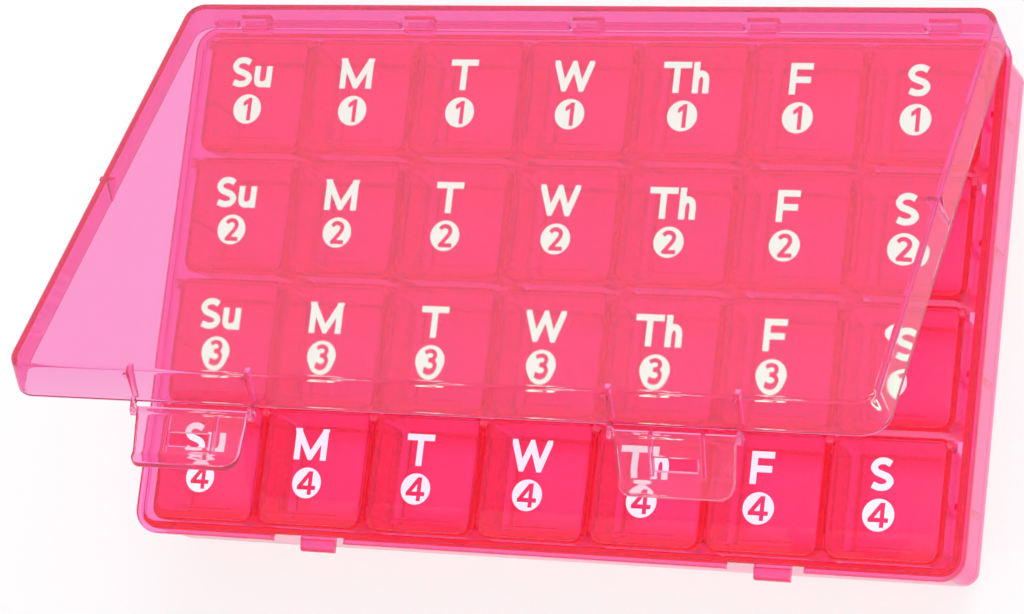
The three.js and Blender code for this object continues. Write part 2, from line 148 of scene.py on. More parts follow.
@dataclass(frozen=True)
class ClearPolystyrene:
    """Injection-moulded clear polystyrene with a transparent dye.

    The eye sees a hard wet gloss, and a colour that deepens with every wall it looks through.
    The dye also clouds each face a little, which evens out the edges behind it.

    Attributes:
        name: The material's name.
        wall_colour: What white light becomes after one wall.
        haze: The share of each face's light that the clouding scatters, from 0 to 1.
        haze_colour: The clouding's own colour.
        index: The index of refraction. It lies under polystyrene's 1.59, as the rounded edges
            of the real walls bend light less sharply than the ones made here.
        wall_mm: The thickness of that wall.
        least_light: The least share of a colour that a wall is taken to let through.
        headroom: What keeps the densest colour of the dye just short of full absorption.
        roughness: The polish of the mould.
        polish_spread: The smoothest and the dullest place, as shares of that roughness.
        flow_mm: The spacing of the faint flow waves.
        flow_detail: How many finer waves they carry.
        flow_height_mm: Their height.
        flow_strength: How fully that height shows.
    """

    name: str
    wall_colour: str
    haze: float = 0.11
    haze_colour: str = "FF94BA"
    index: float = 1.33
    wall_mm: float = 1.5
    least_light: float = 0.004
    headroom: float = 1.005
    roughness: float = 0.035
    polish_spread: tuple[float, float] = (0.6, 1.5)
    flow_mm: float = 14.0
    flow_detail: float = 2.0
    flow_height_mm: float = 0.012
    flow_strength: float = 0.5

    def absorption(self) -> tuple[tuple[float, float, float, float], float]:
        """Works out the dye's absorption.

        Returns:
            The absorption colour and its density per metre.
        """
        wall = self.wall_mm * MM
        shares = [max(share, self.least_light) for share in linear(self.wall_colour)]
        needed = [-math.log(share) / wall for share in shares]
        density = max(needed) * self.headroom
        red, green, blue = (1 - value / density for value in needed)
        return (red, green, blue, 1.0), density

    def make(self) -> bpy.types.Material:
        """Builds the material.

        Returns:
            The material.
        """
        material = empty_material(self.name)
        tree = material.node_tree
        place = add_node(tree, "ShaderNodeTexCoord")
        flow = add_node(
            tree,
            "ShaderNodeTexNoise",
            {"noise_dimensions": "3D"},
            {
                "Vector": place.outputs["Object"],
                "Scale": 1 / (self.flow_mm * MM),
                "Detail": self.flow_detail,
            },
        )
        smoothest, dullest = (share * self.roughness for share in self.polish_spread)
        polish = add_node(
            tree,
            "ShaderNodeMapRange",
            None,
            {"Value": flow.outputs["Fac"], "To Min": smoothest, "To Max": dullest},
        )
        waves = add_node(
            tree,
            "ShaderNodeBump",
            None,
            {
                "Height": flow.outputs["Fac"],
                "Strength": self.flow_strength,
                "Distance": self.flow_height_mm * MM,
            },
        )
        surface = add_node(
            tree,
            "ShaderNodeBsdfPrincipled",
            None,
            {
                "Base Color": WHITE,
                "Roughness": polish.outputs["Result"],
                "IOR": self.index,
                "Transmission Weight": 1.0,
                "Normal": waves.outputs["Normal"],
            },
        )
        colour, density = self.absorption()
        dye = add_node(
            tree, "ShaderNodeVolumeAbsorption", None, {"Color": colour, "Density": density}
        )
        cloud = add_node(
            tree,
            "ShaderNodeBsdfDiffuse",
            None,
            {"Color": (*linear(self.haze_colour), 1.0), "Normal": waves.outputs["Normal"]},
        )
        seen = add_node(
            tree,
            "ShaderNodeMixShader",
            None,
            {0: self.haze, 1: surface.outputs["BSDF"], 2: cloud.outputs["BSDF"]},
        )
        add_node(
            tree,
            "ShaderNodeOutputMaterial",
            None,
            {"Surface": seen.outputs[0], "Volume": dye.outputs["Volume"]},
        )
        return material


@dataclass(frozen=True)
class PadPrintInk:
    """White pad-printing ink, laid on in one pull.

    The eye sees an opaque satin white with a very fine dry grain. Seen through tinted plastic it
    gives off a painted glow, and it can carry a faint painted glow all over.

    Attributes:
        name: The material's name.
        behind_plastic: The red, green and blue of the painted glow that it gives off where it is
            seen through a tinted wall, which makes up for the wall's tint.
        brightener: The strength of a painted glow in the ink's own white, which brightens it as
            added light would.
        colour: The ink's colour.
        thin_colour: Its colour where the grain leaves it thin.
        roughness: Its satin.
        index: The index of refraction of its binder.
        grain_mm: The spacing of its grain.
        grain_detail: How many finer grains that grain carries.
        grain_height_mm: Its height.
        grain_strength: How fully that height shows.
    """

    name: str
    behind_plastic: tuple[float, float, float]
    brightener: float = 0.0
    colour: str = "FAFAFA"
    thin_colour: str = "F1ECEE"
    roughness: float = 0.42
    index: float = 1.48
    grain_mm: float = 0.25
    grain_detail: float = 3.0
    grain_height_mm: float = 0.004
    grain_strength: float = 0.3

    def make(self) -> bpy.types.Material:
        """Builds the material.

        Returns:
            The material.
        """
        material = empty_material(self.name)
        tree = material.node_tree
        place = add_node(tree, "ShaderNodeTexCoord")
        grain = add_node(
            tree,
            "ShaderNodeTexNoise",
            None,
            {
                "Vector": place.outputs["Object"],
                "Scale": 1 / (self.grain_mm * MM),
                "Detail": self.grain_detail,
            },
        )
        white = (*linear(self.colour), 1.0)
        thin = (*linear(self.thin_colour), 1.0)
        coat = add_node(
            tree,
            "ShaderNodeMix",
            {"data_type": "RGBA"},
            {"Factor": grain.outputs["Fac"], 6: white, 7: thin},
        )
        bump = add_node(
            tree,
            "ShaderNodeBump",
            None,
            {
                "Height": grain.outputs["Fac"],
                "Strength": self.grain_strength,
                "Distance": self.grain_height_mm * MM,
            },
        )
        surface = add_node(
            tree,
            "ShaderNodeBsdfPrincipled",
            None,
            {
                "Base Color": coat.outputs[2],
                "Roughness": self.roughness,
                "IOR": self.index,
                "Normal": bump.outputs["Normal"],
                # Painted glow: the ink gives off some of its own white, as if more light fell on
                # it
                "Emission Color": white,
                "Emission Strength": self.brightener,
            },
        )
        # Painted glow: seen through plastic the ink glows, which makes up for the tint of the
        # plastic in front, so the ink stays white behind it
        rays = add_node(tree, "ShaderNodeLightPath")
        through_plastic_glow = add_node(
            tree,
            "ShaderNodeEmission",
            None,
            {"Color": (*self.behind_plastic, 1.0), "Strength": 1.0},
        )
        seen = add_node(
            tree,
            "ShaderNodeMixShader",
            None,
            {
                0: rays.outputs["Is Transmission Ray"],
                1: surface.outputs["BSDF"],
                2: through_plastic_glow.outputs[0],
            },
        )
        add_node(tree, "ShaderNodeOutputMaterial", None, {"Surface": seen.outputs[0]})
        material.cycles.emission_sampling = "NONE"
        return material


@dataclass(frozen=True)
class StudioPaper:
    """Matt white background paper, smooth and without sheen.

    The eye sees an even white with a soft shadow. Through clear plastic and in gloss it is plain
    white.

    Attributes:
        name: The material's name.
        colour: The paper's colour.
        evenness: How much of the background's white covers the paper's own shading.
    """

    name: str = "white_studio_paper"
    colour: str = "FAFAFA"
    evenness: float = 0.7

    def make(self) -> bpy.types.Material:
        """Builds the material.

        Returns:
            The material.
        """
        material = empty_material(self.name)
        tree = material.node_tree
        paper = add_node(
            tree,
            "ShaderNodeBsdfDiffuse",
            None,
            {"Color": (*linear(self.colour), 1.0), "Roughness": 0.0},
        )
        white = add_node(tree, "ShaderNodeEmission", None, {"Color": WHITE, "Strength": 1.0})
        rays = add_node(tree, "ShaderNodeLightPath")
        straight = add_node(
            tree,
            "ShaderNodeMath",
            {"operation": "MULTIPLY"},
            {0: rays.outputs["Is Camera Ray"], 1: self.evenness},
        )
        mirrored = add_node(
            tree,
            "ShaderNodeMath",
            {"operation": "MAXIMUM"},
            {0: rays.outputs["Is Glossy Ray"], 1: rays.outputs["Is Transmission Ray"]},
        )
        share = add_node(
            tree,
            "ShaderNodeMath",
            {"operation": "MAXIMUM"},
            {0: straight.outputs[0], 1: mirrored.outputs[0]},
        )
        seen = add_node(
            tree,
            "ShaderNodeMixShader",
            None,
            {0: share.outputs[0], 1: paper.outputs[0], 2: white.outputs[0]},
        )
        add_node(tree, "ShaderNodeOutputMaterial", None, {"Surface": seen.outputs[0]})
        material.cycles.emission_sampling = "NONE"
        return material


# Workpieces


@dataclass(frozen=True)
class Bend:
    """One corner of a moulded wall's section.

    Attributes:
        side: How far it lies inside the outline at the sides and the back.
        z: Its height.
        radius: Its rounding.
        front: How far it lies inside the outline at the front, where that differs.
    """

    side: float
    z: float
    radius: float = 0.0
    front: float | None = None

    def place(self) -> Vector:
        """Returns the corner as side inset, front inset and height."""
        return Vector((self.side, self.side if self.front is None else self.front, self.z))


# The most of a section's side that the rounding of one corner may use up
MOST_TRIM = 0.49

# A corner flatter than this, in degrees, stays as it is
NEARLY_STRAIGHT = 179.0


def rounded(bends: Sequence[Bend], steps: int) -> list[Vector]:
    """Rounds the corners of a wall's section.

    Args:
        bends: The corners, in order.
        steps: The steps in each rounding.

    Returns:
        The points of the section.
    """
    corners = [bend.place() for bend in bends]
    points: list[Vector] = [corners[0]]
    for index in range(1, len(corners) - 1):
        here = corners[index]
        back = corners[index - 1] - here
        ahead = corners[index + 1] - here
        angle = back.angle(ahead)
        if bends[index].radius <= 0 or angle > math.radians(NEARLY_STRAIGHT):
            points.append(here)
            continue
        trim = bends[index].radius / math.tan(angle / 2)
        trim = min(trim, back.length * MOST_TRIM, ahead.length * MOST_TRIM)
        radius = trim * math.tan(angle / 2)
        middle = (back.normalized() + ahead.normalized()).normalized()
        centre = here + middle * (radius / math.sin(angle / 2))
        first = here + back.normalized() * trim - centre
        last = here + ahead.normalized() * trim - centre
        sweep = first.angle(last)
        for step in range(steps + 1):
            share = step / steps
            blend = first * math.sin((1 - share) * sweep) + last * math.sin(share * sweep)
            points.append(centre + blend / math.sin(sweep))
    points.append(corners[-1])
    return points


def arc(
    middle: tuple[float, float], radius: float, start: float, sweep: float, steps: int
) -> Section:
    """Gives points along an arc.

    Args:
        middle: Its centre.
        radius: Its radius.
        start: The direction of its first point, in degrees.
        sweep: The angle that it covers, in degrees.
        steps: The steps from its first point to its last.

    Returns:
        The points, one more than the steps.
    """
    angles = [math.radians(start + sweep * step / steps) for step in range(steps + 1)]
    return [(middle[0] + radius * math.cos(a), middle[1] + radius * math.sin(a)) for a in angles]


@dataclass(frozen=True)
class Outline:
    """A round-cornered rectangle in plan.

    Attributes:
        left, right, front, back: Its sides.
        front_radius, back_radius: Its corners.
        least_radius: The tightest corner that it keeps when it is inset.
    """

    left: float
    right: float
    front: float
    back: float
    front_radius: float
    back_radius: float
    least_radius: float = 0.35

    def ring(self, side: float, front: float, z: float, steps: int) -> list[Point]:
        """Gives the outline's points, anticlockwise from above.

        Args:
            side: The inset at the sides and the back.
            front: The inset at the front.
            z: The height.
            steps: The steps in each corner.

        Returns:
            The points, in millimetres.
        """
        low_x, high_x = self.left + side, self.right - side
        low_y, high_y = self.front + front, self.back - side
        near = max(self.front_radius - side, self.least_radius)
        far = max(self.back_radius - side, self.least_radius)
        corners = (
            (high_x - near, low_y + near, near, -90),
            (high_x - far, high_y - far, far, 0),
            (low_x + far, high_y - far, far, 90),
            (low_x + near, low_y + near, near, 180),
        )
        points = []
        for x, y, radius, start in corners:
            points += [(px, py, z) for px, py in arc((x, y), radius, start, 90, steps)]
        return points


def centred(width: float, depth: float, front_radius: float, back_radius: float) -> Outline:
    """Makes an outline about the origin."""
    return Outline(-width / 2, width / 2, -depth / 2, depth / 2, front_radius, back_radius)


def swing(y: float, z: float, angle: float) -> Matrix:
    """Gives a turn about an axis along X that lifts the front.

    Args:
        y: The axis's place, in millimetres.
        z: The axis's height, in millimetres.
        angle: The angle in degrees.

    Returns:
        The matrix, in metres.
    """
    to_axis = Matrix.Translation((0, y * MM, z * MM))
    turn = Matrix.Rotation(-math.radians(angle), 4, "X")
    return to_axis @ turn @ to_axis.inverted()


class Workpiece:
    """A closed solid on the bench, which is joined, cut and finished.

    Attributes:
        SHARP: Edges sharper than this angle in degrees are rounded by soften.
        CREASE: Edges sharper than this angle in degrees stay crisp when the piece is polished.
        MERGE_MM: Corners closer than this are merged when the piece is polished.
        ROD_SIDES: The sides of a round rod.
    """

    SHARP = 25.0
    CREASE = 38.0
    MERGE_MM = 0.0005
    ROD_SIDES = 24

    def __init__(self, name: str, points: Sequence[Point], faces: Sequence[Sequence[int]]) -> None:
        """Makes the solid.

        Args:
            name: Its name.
            points: Its corners, in millimetres.
            faces: Its faces, pointing out.
        """
        mesh = bpy.data.meshes.new(name)
        mesh.from_pydata([tuple(c * MM for c in point) for point in points], [], list(faces))
        self.object = bpy.data.objects.new(name, mesh)
        bpy.context.scene.collection.objects.link(self.object)

    @classmethod
    def loft(cls, name: str, rings: Sequence[Sequence[Point]]) -> "Workpiece":
        """Makes a solid through rings of points.

        Args:
            name: Its name.
            rings: The rings, each with as many points, anticlockwise along the way they follow.

        Returns:
            The solid, closed by its first and last rings.
        """
        count = len(rings[0])
        faces: list[list[int]] = [list(reversed(range(count)))]
        for level in range(len(rings) - 1):
            low, high = level * count, (level + 1) * count
            for index in range(count):
                beside = (index + 1) % count
                faces.append([low + index, low + beside, high + beside, high + index])
        top = (len(rings) - 1) * count
        faces.append([top + index for index in range(count)])
        return cls(name, [point for ring in rings for point in ring], faces)

    @classmethod
    def moulded(
        cls,
        name: str,
        outline: Outline,
        bends: Sequence[Bend],
        steps: int,
        round_steps: int = 4,
    ) -> "Workpiece":
        """Makes a solid whose wall follows a section round an outline.

        Args:
            name: Its name.
            outline: The plan.
            bends: The wall's section, from its first closed end to its last.
            steps: The steps in each corner of the plan.
            round_steps: The steps in each rounding of the section.

        Returns:
            The solid.
        """
        section = rounded(bends, round_steps)
        return cls.loft(name, [outline.ring(p.x, p.y, p.z, steps) for p in section])

    @classmethod
    def along_x(cls, name: str, section: Section, from_x: float, to_x: float) -> "Workpiece":
        """Makes a solid of one section along X.

        Args:
            name: Its name.
            section: Its section in Y and Z.
            from_x: Its left end.
            to_x: Its right end.

        Returns:
            The solid.
        """
        area = sum(
            a[0] * b[1] - b[0] * a[1] for a, b in zip(section, section[1:] + section[:1])
        )
        order = section if area > 0 else section[::-1]
        rings = [[(x, y, z) for y, z in order] for x in (from_x, to_x)]
        return cls.loft(name, rings)

    @classmethod
    def rod(
        cls,
        name: str,
        middle: tuple[float, float],
        radius: float,
        from_x: float,
        to_x: float,
        sides: int = ROD_SIDES,
    ) -> "Workpiece":
        """Makes a round rod along X.

        Args:
            name: Its name.
            middle: Its axis in Y and Z.
            radius: Its radius.
            from_x: Its left end.
            to_x: Its right end.
            sides: Its sides.

        Returns:
            The rod.
        """
        return cls.along_x(name, arc(middle, radius, 0, 360, sides)[:-1], from_x, to_x)

    @classmethod
    def block(cls, name: str, low: Point, high: Point) -> "Workpiece":
        """Makes a square block between two corners."""
        section = [(low[1], low[2]), (high[1], low[2]), (high[1], high[2]), (low[1], high[2])]
        return cls.along_x(name, section, low[0], high[0])

    def soften(self, width: float, steps: int = 2) -> "Workpiece":
        """Rounds every edge a little.

        Args:
            width: The rounding, in millimetres.
            steps: Its steps.

        Returns:
            The workpiece.
        """
        form = bmesh.new()
        form.from_mesh(self.object.data)
        sharp = [e for e in form.edges if e.calc_face_angle(0) > math.radians(self.SHARP)]
        bmesh.ops.bevel(
            form, geom=sharp, offset=width * MM, segments=steps, profile=0.5, affect="EDGES"
        )
        form.to_mesh(self.object.data)
        form.free()
        return self

    def settle(self) -> None:
        """Turns the modifiers into a plain mesh."""
        graph = bpy.context.evaluated_depsgraph_get()
        mesh = bpy.data.meshes.new_from_object(self.object.evaluated_get(graph))
        self.object.modifiers.clear()
        self.object.data = mesh

    def work(self, other: "Workpiece", working: Working) -> "Workpiece":
        """Joins, cuts or trims with another solid, which is used up.

        Args:
            other: The other solid.
            working: What is done.

        Returns:
            The workpiece.
        """
        change = self.object.modifiers.new("work", "BOOLEAN")
        change.operation = working.value
        change.solver = "MANIFOLD"
        change.object = other.object
        self.settle()
        bpy.data.objects.remove(other.object)
        return self

    def row(
        self, copies: int, first: Point, step: Point, plastic: bpy.types.Material
    ) -> "Workpiece":
        """Repeats the solid in a straight row.

        Args:
            copies: How many.
            first: The first copy's place.
            step: From each copy to the next.
            plastic: The row's material.

        Returns:
            The workpiece.
        """
        change = self.object.modifiers.new("row", "NODES")
        change.node_group = RowOfCopies.tree()
        RowOfCopies.set_input(change, "Copies", copies)
        RowOfCopies.set_input(change, "First place", [value * MM for value in first])
        RowOfCopies.set_input(change, "Step", [value * MM for value in step])
        RowOfCopies.set_input(change, "Plastic", plastic)
        self.settle()
        return self

    def place(self, matrix: Matrix) -> "Workpiece":
        """Moves the mesh, and leaves the object at the origin.

        Args:
            matrix: The move, in metres.

        Returns:
            The workpiece.
        """
        self.object.data.transform(matrix)
        self.object.data.update()
        return self

    def copy(self, name: str) -> "Workpiece":
        """Makes a copy with a mesh of its own.

        Args:
            name: The copy's name.

        Returns:
            The copy.
        """
        twin = Workpiece.__new__(Workpiece)
        twin.object = self.object.copy()
        twin.object.data = self.object.data.copy()
        twin.object.name = name
        twin.object.data.name = name
        bpy.context.scene.collection.objects.link(twin.object)
        return twin

    def discard(self) -> None:
        """Takes the workpiece off the bench."""
        bpy.data.objects.remove(self.object)

    def polish(self, material: bpy.types.Material) -> "Workpiece":
        """Gives the solid its material and smooth shading.

        Args:
            material: The material.

        Returns:
            The workpiece.
        """
        form = bmesh.new()
        form.from_mesh(self.object.data)
        bmesh.ops.remove_doubles(form, verts=form.verts, dist=self.MERGE_MM * MM)
        for edge in form.edges:
            edge.smooth = edge.calc_face_angle(math.pi) < math.radians(self.CREASE)
        for face in form.faces:
            face.smooth = True
        form.to_mesh(self.object.data)
        form.free()
        weigh = self.object.modifiers.new("flat_faces_first", "WEIGHTED_NORMAL")
        weigh.keep_sharp = True
        self.settle()
        return self.dress(material)

    def dress(self, material: bpy.types.Material) -> "Workpiece":
        """Gives the solid its one material.

        Args:
            material: The material.

        Returns:
            The workpiece.
        """
        self.object.data.materials.clear()
        self.object.data.materials.append(material)
        return self

    def mount(self, body: str, slot: str | None = None, node: str | None = None) -> None:
        """Puts the finished piece on the frame.

        Args:
            body: The body that it rides on.
            slot: The record's material slot, if it has one for the piece. It is not used.
            node: The node that it stands for, if any.
        """
        if node is not None:
            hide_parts(node)
        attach(self.object, body)
        triangles = sum(len(face.vertices) - 2 for face in self.object.data.polygons)
        LOG.info("%s on %s: %d triangles", self.object.name, body, triangles)


class RowOfCopies:
    """A node tree that repeats a solid in a straight row."""

    NAME = "row_of_copies"

    @classmethod
    def tree(cls) -> bpy.types.NodeTree:
        """Builds the tree at the first call, and finds it later.

        Returns:
            The tree, with named inputs for the piece, the copies, their places and the plastic.
        """
        found = bpy.data.node_groups.get(cls.NAME)
        if found is not None:
            return found
        tree = bpy.data.node_groups.new(cls.NAME, "GeometryNodeTree")
        sockets = (
            ("Piece", "INPUT", "NodeSocketGeometry"),
            ("Copies", "INPUT", "NodeSocketInt"),
            ("First place", "INPUT", "NodeSocketVector"),
            ("Step", "INPUT", "NodeSocketVector"),
            ("Plastic", "INPUT", "NodeSocketMaterial"),
            ("Row", "OUTPUT", "NodeSocketGeometry"),
        )
        for name, way, kind in sockets:
            tree.interface.new_socket(name=name, in_out=way, socket_type=kind)
        start = add_node(tree, "NodeGroupInput")
        places = add_node(
            tree,
            "GeometryNodeMeshLine",
            {"mode": "OFFSET"},
            {
                "Count": start.outputs["Copies"],
                "Start Location": start.outputs["First place"],
                "Offset": start.outputs["Step"],
            },
        )
        copies = add_node(
            tree,
            "GeometryNodeInstanceOnPoints",
            None,
            {"Points": places.outputs["Mesh"], "Instance": start.outputs["Piece"]},
        )
        solid = add_node(
            tree, "GeometryNodeRealizeInstances", None, {"Geometry": copies.outputs["Instances"]}
        )
        dressed = add_node(
            tree,
            "GeometryNodeSetMaterial",
            None,
            {"Geometry": solid.outputs["Geometry"], "Material": start.outputs["Plastic"]},
        )
        add_node(tree, "NodeGroupOutput", None, {"Row": dressed.outputs["Geometry"]})
        return tree

    @classmethod
    def set_input(cls, change: bpy.types.Modifier, name: str, value: object) -> None:
        """Sets one named input of a row by its identifier.

        Args:
            change: The modifier.
            name: The input's name.
            value: Its value.

        Raises:
            ValueError: If the tree has no such input.
        """
        for item in change.node_group.interface.items_tree:
            if item.item_type == "SOCKET" and item.in_out == "INPUT" and item.name == name:
                change[item.identifier] = value
                return
        raise ValueError(f"the row has no input named {name}")


# The case


@dataclass(frozen=True)
class CaseSizes:
    """The sizes that several pieces share, in millimetres and degrees.

    Places are those of the closed case. Y runs to the back, and 0 is the middle of the base. A
    strip's and a day lid's places along Y count from the middle of the strip.
    """

    # The strips and their tubs
    weeks: int = 4
    days: int = 7
    pitch_x: float = 24.0
    pitch_y: float = 25.8
    tub_width: float = 23.6
    tub_depth: float = 24.6
    strip_bottom: float = 1.8
    deck_top: float = 19.0

    # The day lids and the axes that they turn on
    day_lid_bottom: float = 19.3
    day_lid_top: float = 20.7
    day_axis_y: float = 10.8
    day_axis_z: float = 20.0

    # The outside and the inside of the tray
    width: float = 176.0
    depth: float = 107.4
    corner_radius: float = 5.0
    inner_width: float = 171.2
    inner_depth: float = 102.6
    flange_bottom: float = 16.6
    flange_top: float = 18.2
    lip_top: float = 18.7

    # The outer lid and its long hinge
    skirt_bottom: float = 18.5
    plate_bottom: float = 24.8
    cover_top: float = 26.3
    hinge_y: float = 54.8
    hinge_z: float = 18.3
    hinge_length: float = 167.0
    hook_width: float = 6.0
    hook_reach: float = 74.5
    hooks: int = 5

    # The latches
    latch_x: float = 48.5
    latch_y: float = -55.0
    latch_z: float = 17.7
    latch_width: float = 23.4
    latch_clear: float = 0.3

    # How far the photograph shows the lid and the latches open
    lid_open: float = 32.0
    left_latch_open: float = 60.0
    right_latch_open: float = 32.0

    def day_x(self, day: int) -> float:
        """Returns the middle of a day's tub along X."""
        return (day - (self.days - 1) / 2) * self.pitch_x

    def week_y(self, week: int) -> float:
        """Returns the middle of a week's strip along Y."""
        return ((self.weeks - 1) / 2 - week) * self.pitch_y

    def lid_pose(self) -> Matrix:
        """Returns the turn from the closed outer lid to the open one."""
        return swing(self.hinge_y, self.hinge_z, self.lid_open)

    def outline(self) -> Outline:
        """Returns the outline of the tray and of the outer lid."""
        return centred(self.width, self.depth, self.corner_radius, self.corner_radius)

    def at_hooks(self, piece: Workpiece, plastic: bpy.types.Material) -> Workpiece:
        """Repeats a piece at each hook of the long hinge.

        Args:
            piece: The piece, in the middle of the hinge.
            plastic: Its material.

        Returns:
            The row.
        """
        step = 2 * self.hook_reach / (self.hooks - 1)
        return piece.row(self.hooks, (-self.hook_reach, 0, 0), (step, 0, 0), plastic)


SIZES = CaseSizes()


@dataclass
class Tray:
    """The shallow tray: drafted walls, flange, lip, ribs, nibs and hinge hooks.

    Attributes:
        plastic: Its material.
        floor: The floor's thickness, in millimetres like the other sizes.
        base_inset: How far the base lies inside the outline.
        overhang: How far the flange stands out over the top of the wall.
        lip_inset, lip: How far the lip lies inside the outline, and its thickness.
        edge, flange_edge, rim_edge: The roundings of the base, the flange's underside and its rim.
        lip_foot, lip_edge, inner_edge: Those of the lip's foot, its top and the floor's inside.
        inner_draft: How much each wall's inner face leans in down to the floor.
        flat: How much of a closing face the wall's section takes in.
        rib_width, rib_proud: A rib's width, and how far it stands out.
        rib_drop, rib_edge: How far it ends below the flange's top, and its rounding.
        notch: The width of the gap in the flange at a latch.
        recess, recess_clear: The depth of the relief behind the hinge, and its play at each end.
        nib_width, nib_tip, nib_z, nib_height: A nib's width, its tip's place, its middle's height
            and its own height.
        nib_slope, nib_edge: How much its top slopes, and its rounding.
        hook_inner, hook_outer: A hook's radii.
        hook_start, hook_sweep, hook_steps: A hook's arc in degrees, and its steps.
        hook_spare: How far the bore's cutter reaches past a hook.
    """

    plastic: bpy.types.Material
    floor: float = 1.5
    base_inset: float = 1.8
    overhang: float = 1.2
    lip_inset: float = 1.4
    lip: float = 1.0
    edge: float = 0.8
    flange_edge: float = 0.3
    rim_edge: float = 0.4
    lip_foot: float = 0.25
    lip_edge: float = 0.35
    inner_draft: float = 0.6
    inner_edge: float = 1.4
    flat: float = 3.0
    rib_width: float = 1.2
    rib_proud: float = 1.5
    rib_drop: float = 3.0
    rib_edge: float = 0.2
    notch: float = 16.0
    recess: float = 0.3
    recess_clear: float = 0.3
    nib_width: float = 7.4
    nib_tip: float = -54.835
    nib_z: float = 12.42
    nib_height: float = 1.6
    nib_slope: float = 0.5
    nib_edge: float = 0.15
    hook_inner: float = 1.25
    hook_outer: float = 2.1
    hook_start: float = -215.0
    hook_sweep: float = 265.0
    hook_steps: int = 24
    hook_spare: float = 1.0

    def make(self) -> None:
        """Builds the tray and puts it on the frame."""
        body = self.shell()
        half = SIZES.hinge_length / 2 + self.recess_clear
        back = SIZES.depth / 2
        low, high = SIZES.flange_bottom - SPARE, SIZES.flange_top
        recess = Workpiece.block(
            "recess", (-half, back - self.recess, low), (half, back + SPARE, high)
        )
        body.work(recess, Working.CUT)
        for side in (-1, 1):
            middle = side * SIZES.latch_x
            notch = Workpiece.block(
                "notch",
                (middle - self.notch / 2, -back - SPARE, low),
                (middle + self.notch / 2, -back + self.overhang, high),
            )
            body.work(notch, Working.CUT)
            body.work(self.nib(middle), Working.JOIN)
            body.work(self.ribs(side), Working.JOIN)
        body.work(self.hooks(), Working.JOIN)
        body.polish(self.plastic).mount("tray", "tray_plastic", "tray")

    def shell(self) -> Workpiece:
        """Makes the floor and walls in one wall section.

        Returns:
            The shell.
        """
        mouth = self.lip_inset + self.lip
        inside = mouth + self.inner_draft
        bends = (
            Bend(self.base_inset + self.flat, 0),
            Bend(self.base_inset, 0, self.edge),
            Bend(self.overhang, SIZES.flange_bottom, self.flange_edge),
            Bend(0, SIZES.flange_bottom, self.flange_edge),
            Bend(0, SIZES.flange_top, self.rim_edge),
            Bend(self.lip_inset, SIZES.flange_top, self.lip_foot),
            Bend(self.lip_inset, SIZES.lip_top, self.lip_edge),
            Bend(mouth, SIZES.lip_top, self.lip_edge),
            Bend(inside, self.floor, self.inner_edge),
            Bend(inside + self.flat, self.floor),
        )
        return Workpiece.moulded("tray_moulding", SIZES.outline(), bends, steps=10)

    def nib(self, middle: float) -> Workpiece:
        """Makes the catch for a latch's slot.

        Args:
            middle: Its middle along X.

        Returns:
            The nib.
        """
        root = -SIZES.inner_depth / 2 - self.lip / 2
        top, bottom = self.nib_z + self.nib_height / 2, self.nib_z - self.nib_height / 2
        section = [
            (root, bottom),
            (self.nib_tip, bottom),
            (self.nib_tip, top - self.nib_slope),
            (self.nib_tip + self.nib_slope, top),
            (root, top + self.nib_slope),
        ]
        half = self.nib_width / 2
        nib = Workpiece.along_x("nib", section, middle - half, middle + half)
        return nib.soften(self.nib_edge)

    def ribs(self, side: int) -> Workpiece:
        """Makes the upright ribs of one side wall, one for each strip.

        Args:
            side: -1 at the left, 1 at the right.

        Returns:
            The row of ribs, with their roots inside the wall and the floor.
        """
        face = SIZES.inner_width / 2 - self.rib_proud
        root = SIZES.inner_width / 2 + self.lip / 3
        x = (face, root) if side > 0 else (-root, -face)
        half = self.rib_width / 2
        top = SIZES.flange_top - self.rib_drop
        rib = Workpiece.block("rib", (x[0], -half, self.floor / 2), (x[1], half, top))
        first = (0, SIZES.week_y(SIZES.weeks - 1), 0)
        step = (0, SIZES.pitch_y, 0)
        return rib.soften(self.rib_edge).row(SIZES.weeks, first, step, self.plastic)

    def hooks(self) -> Workpiece:
        """Makes the hooks that hold the outer lid's pin.

        Returns:
            The row of hooks.
        """
        half = SIZES.hook_width / 2
        axis = (SIZES.hinge_y, SIZES.hinge_z)
        outer, inner = (
            arc(axis, radius, self.hook_start, self.hook_sweep, self.hook_steps)
            for radius in (self.hook_outer, self.hook_inner)
        )
        hook = Workpiece.along_x("hook", outer + inner[::-1], -half, half)
        foot_low = SIZES.hinge_z - self.hook_outer
        foot_high = foot_low + self.hook_outer - self.hook_inner
        root = SIZES.inner_depth / 2 + self.lip / 2
        foot = Workpiece.block("foot", (-half, root, foot_low), (half, SIZES.hinge_y, foot_high))
        reach = half + self.hook_spare
        bore = Workpiece.rod("bore", axis, self.hook_inner, -reach, reach, 2 * self.hook_steps)
        hook.work(foot, Working.JOIN).work(bore, Working.CUT)
        return SIZES.at_hooks(hook, self.plastic)


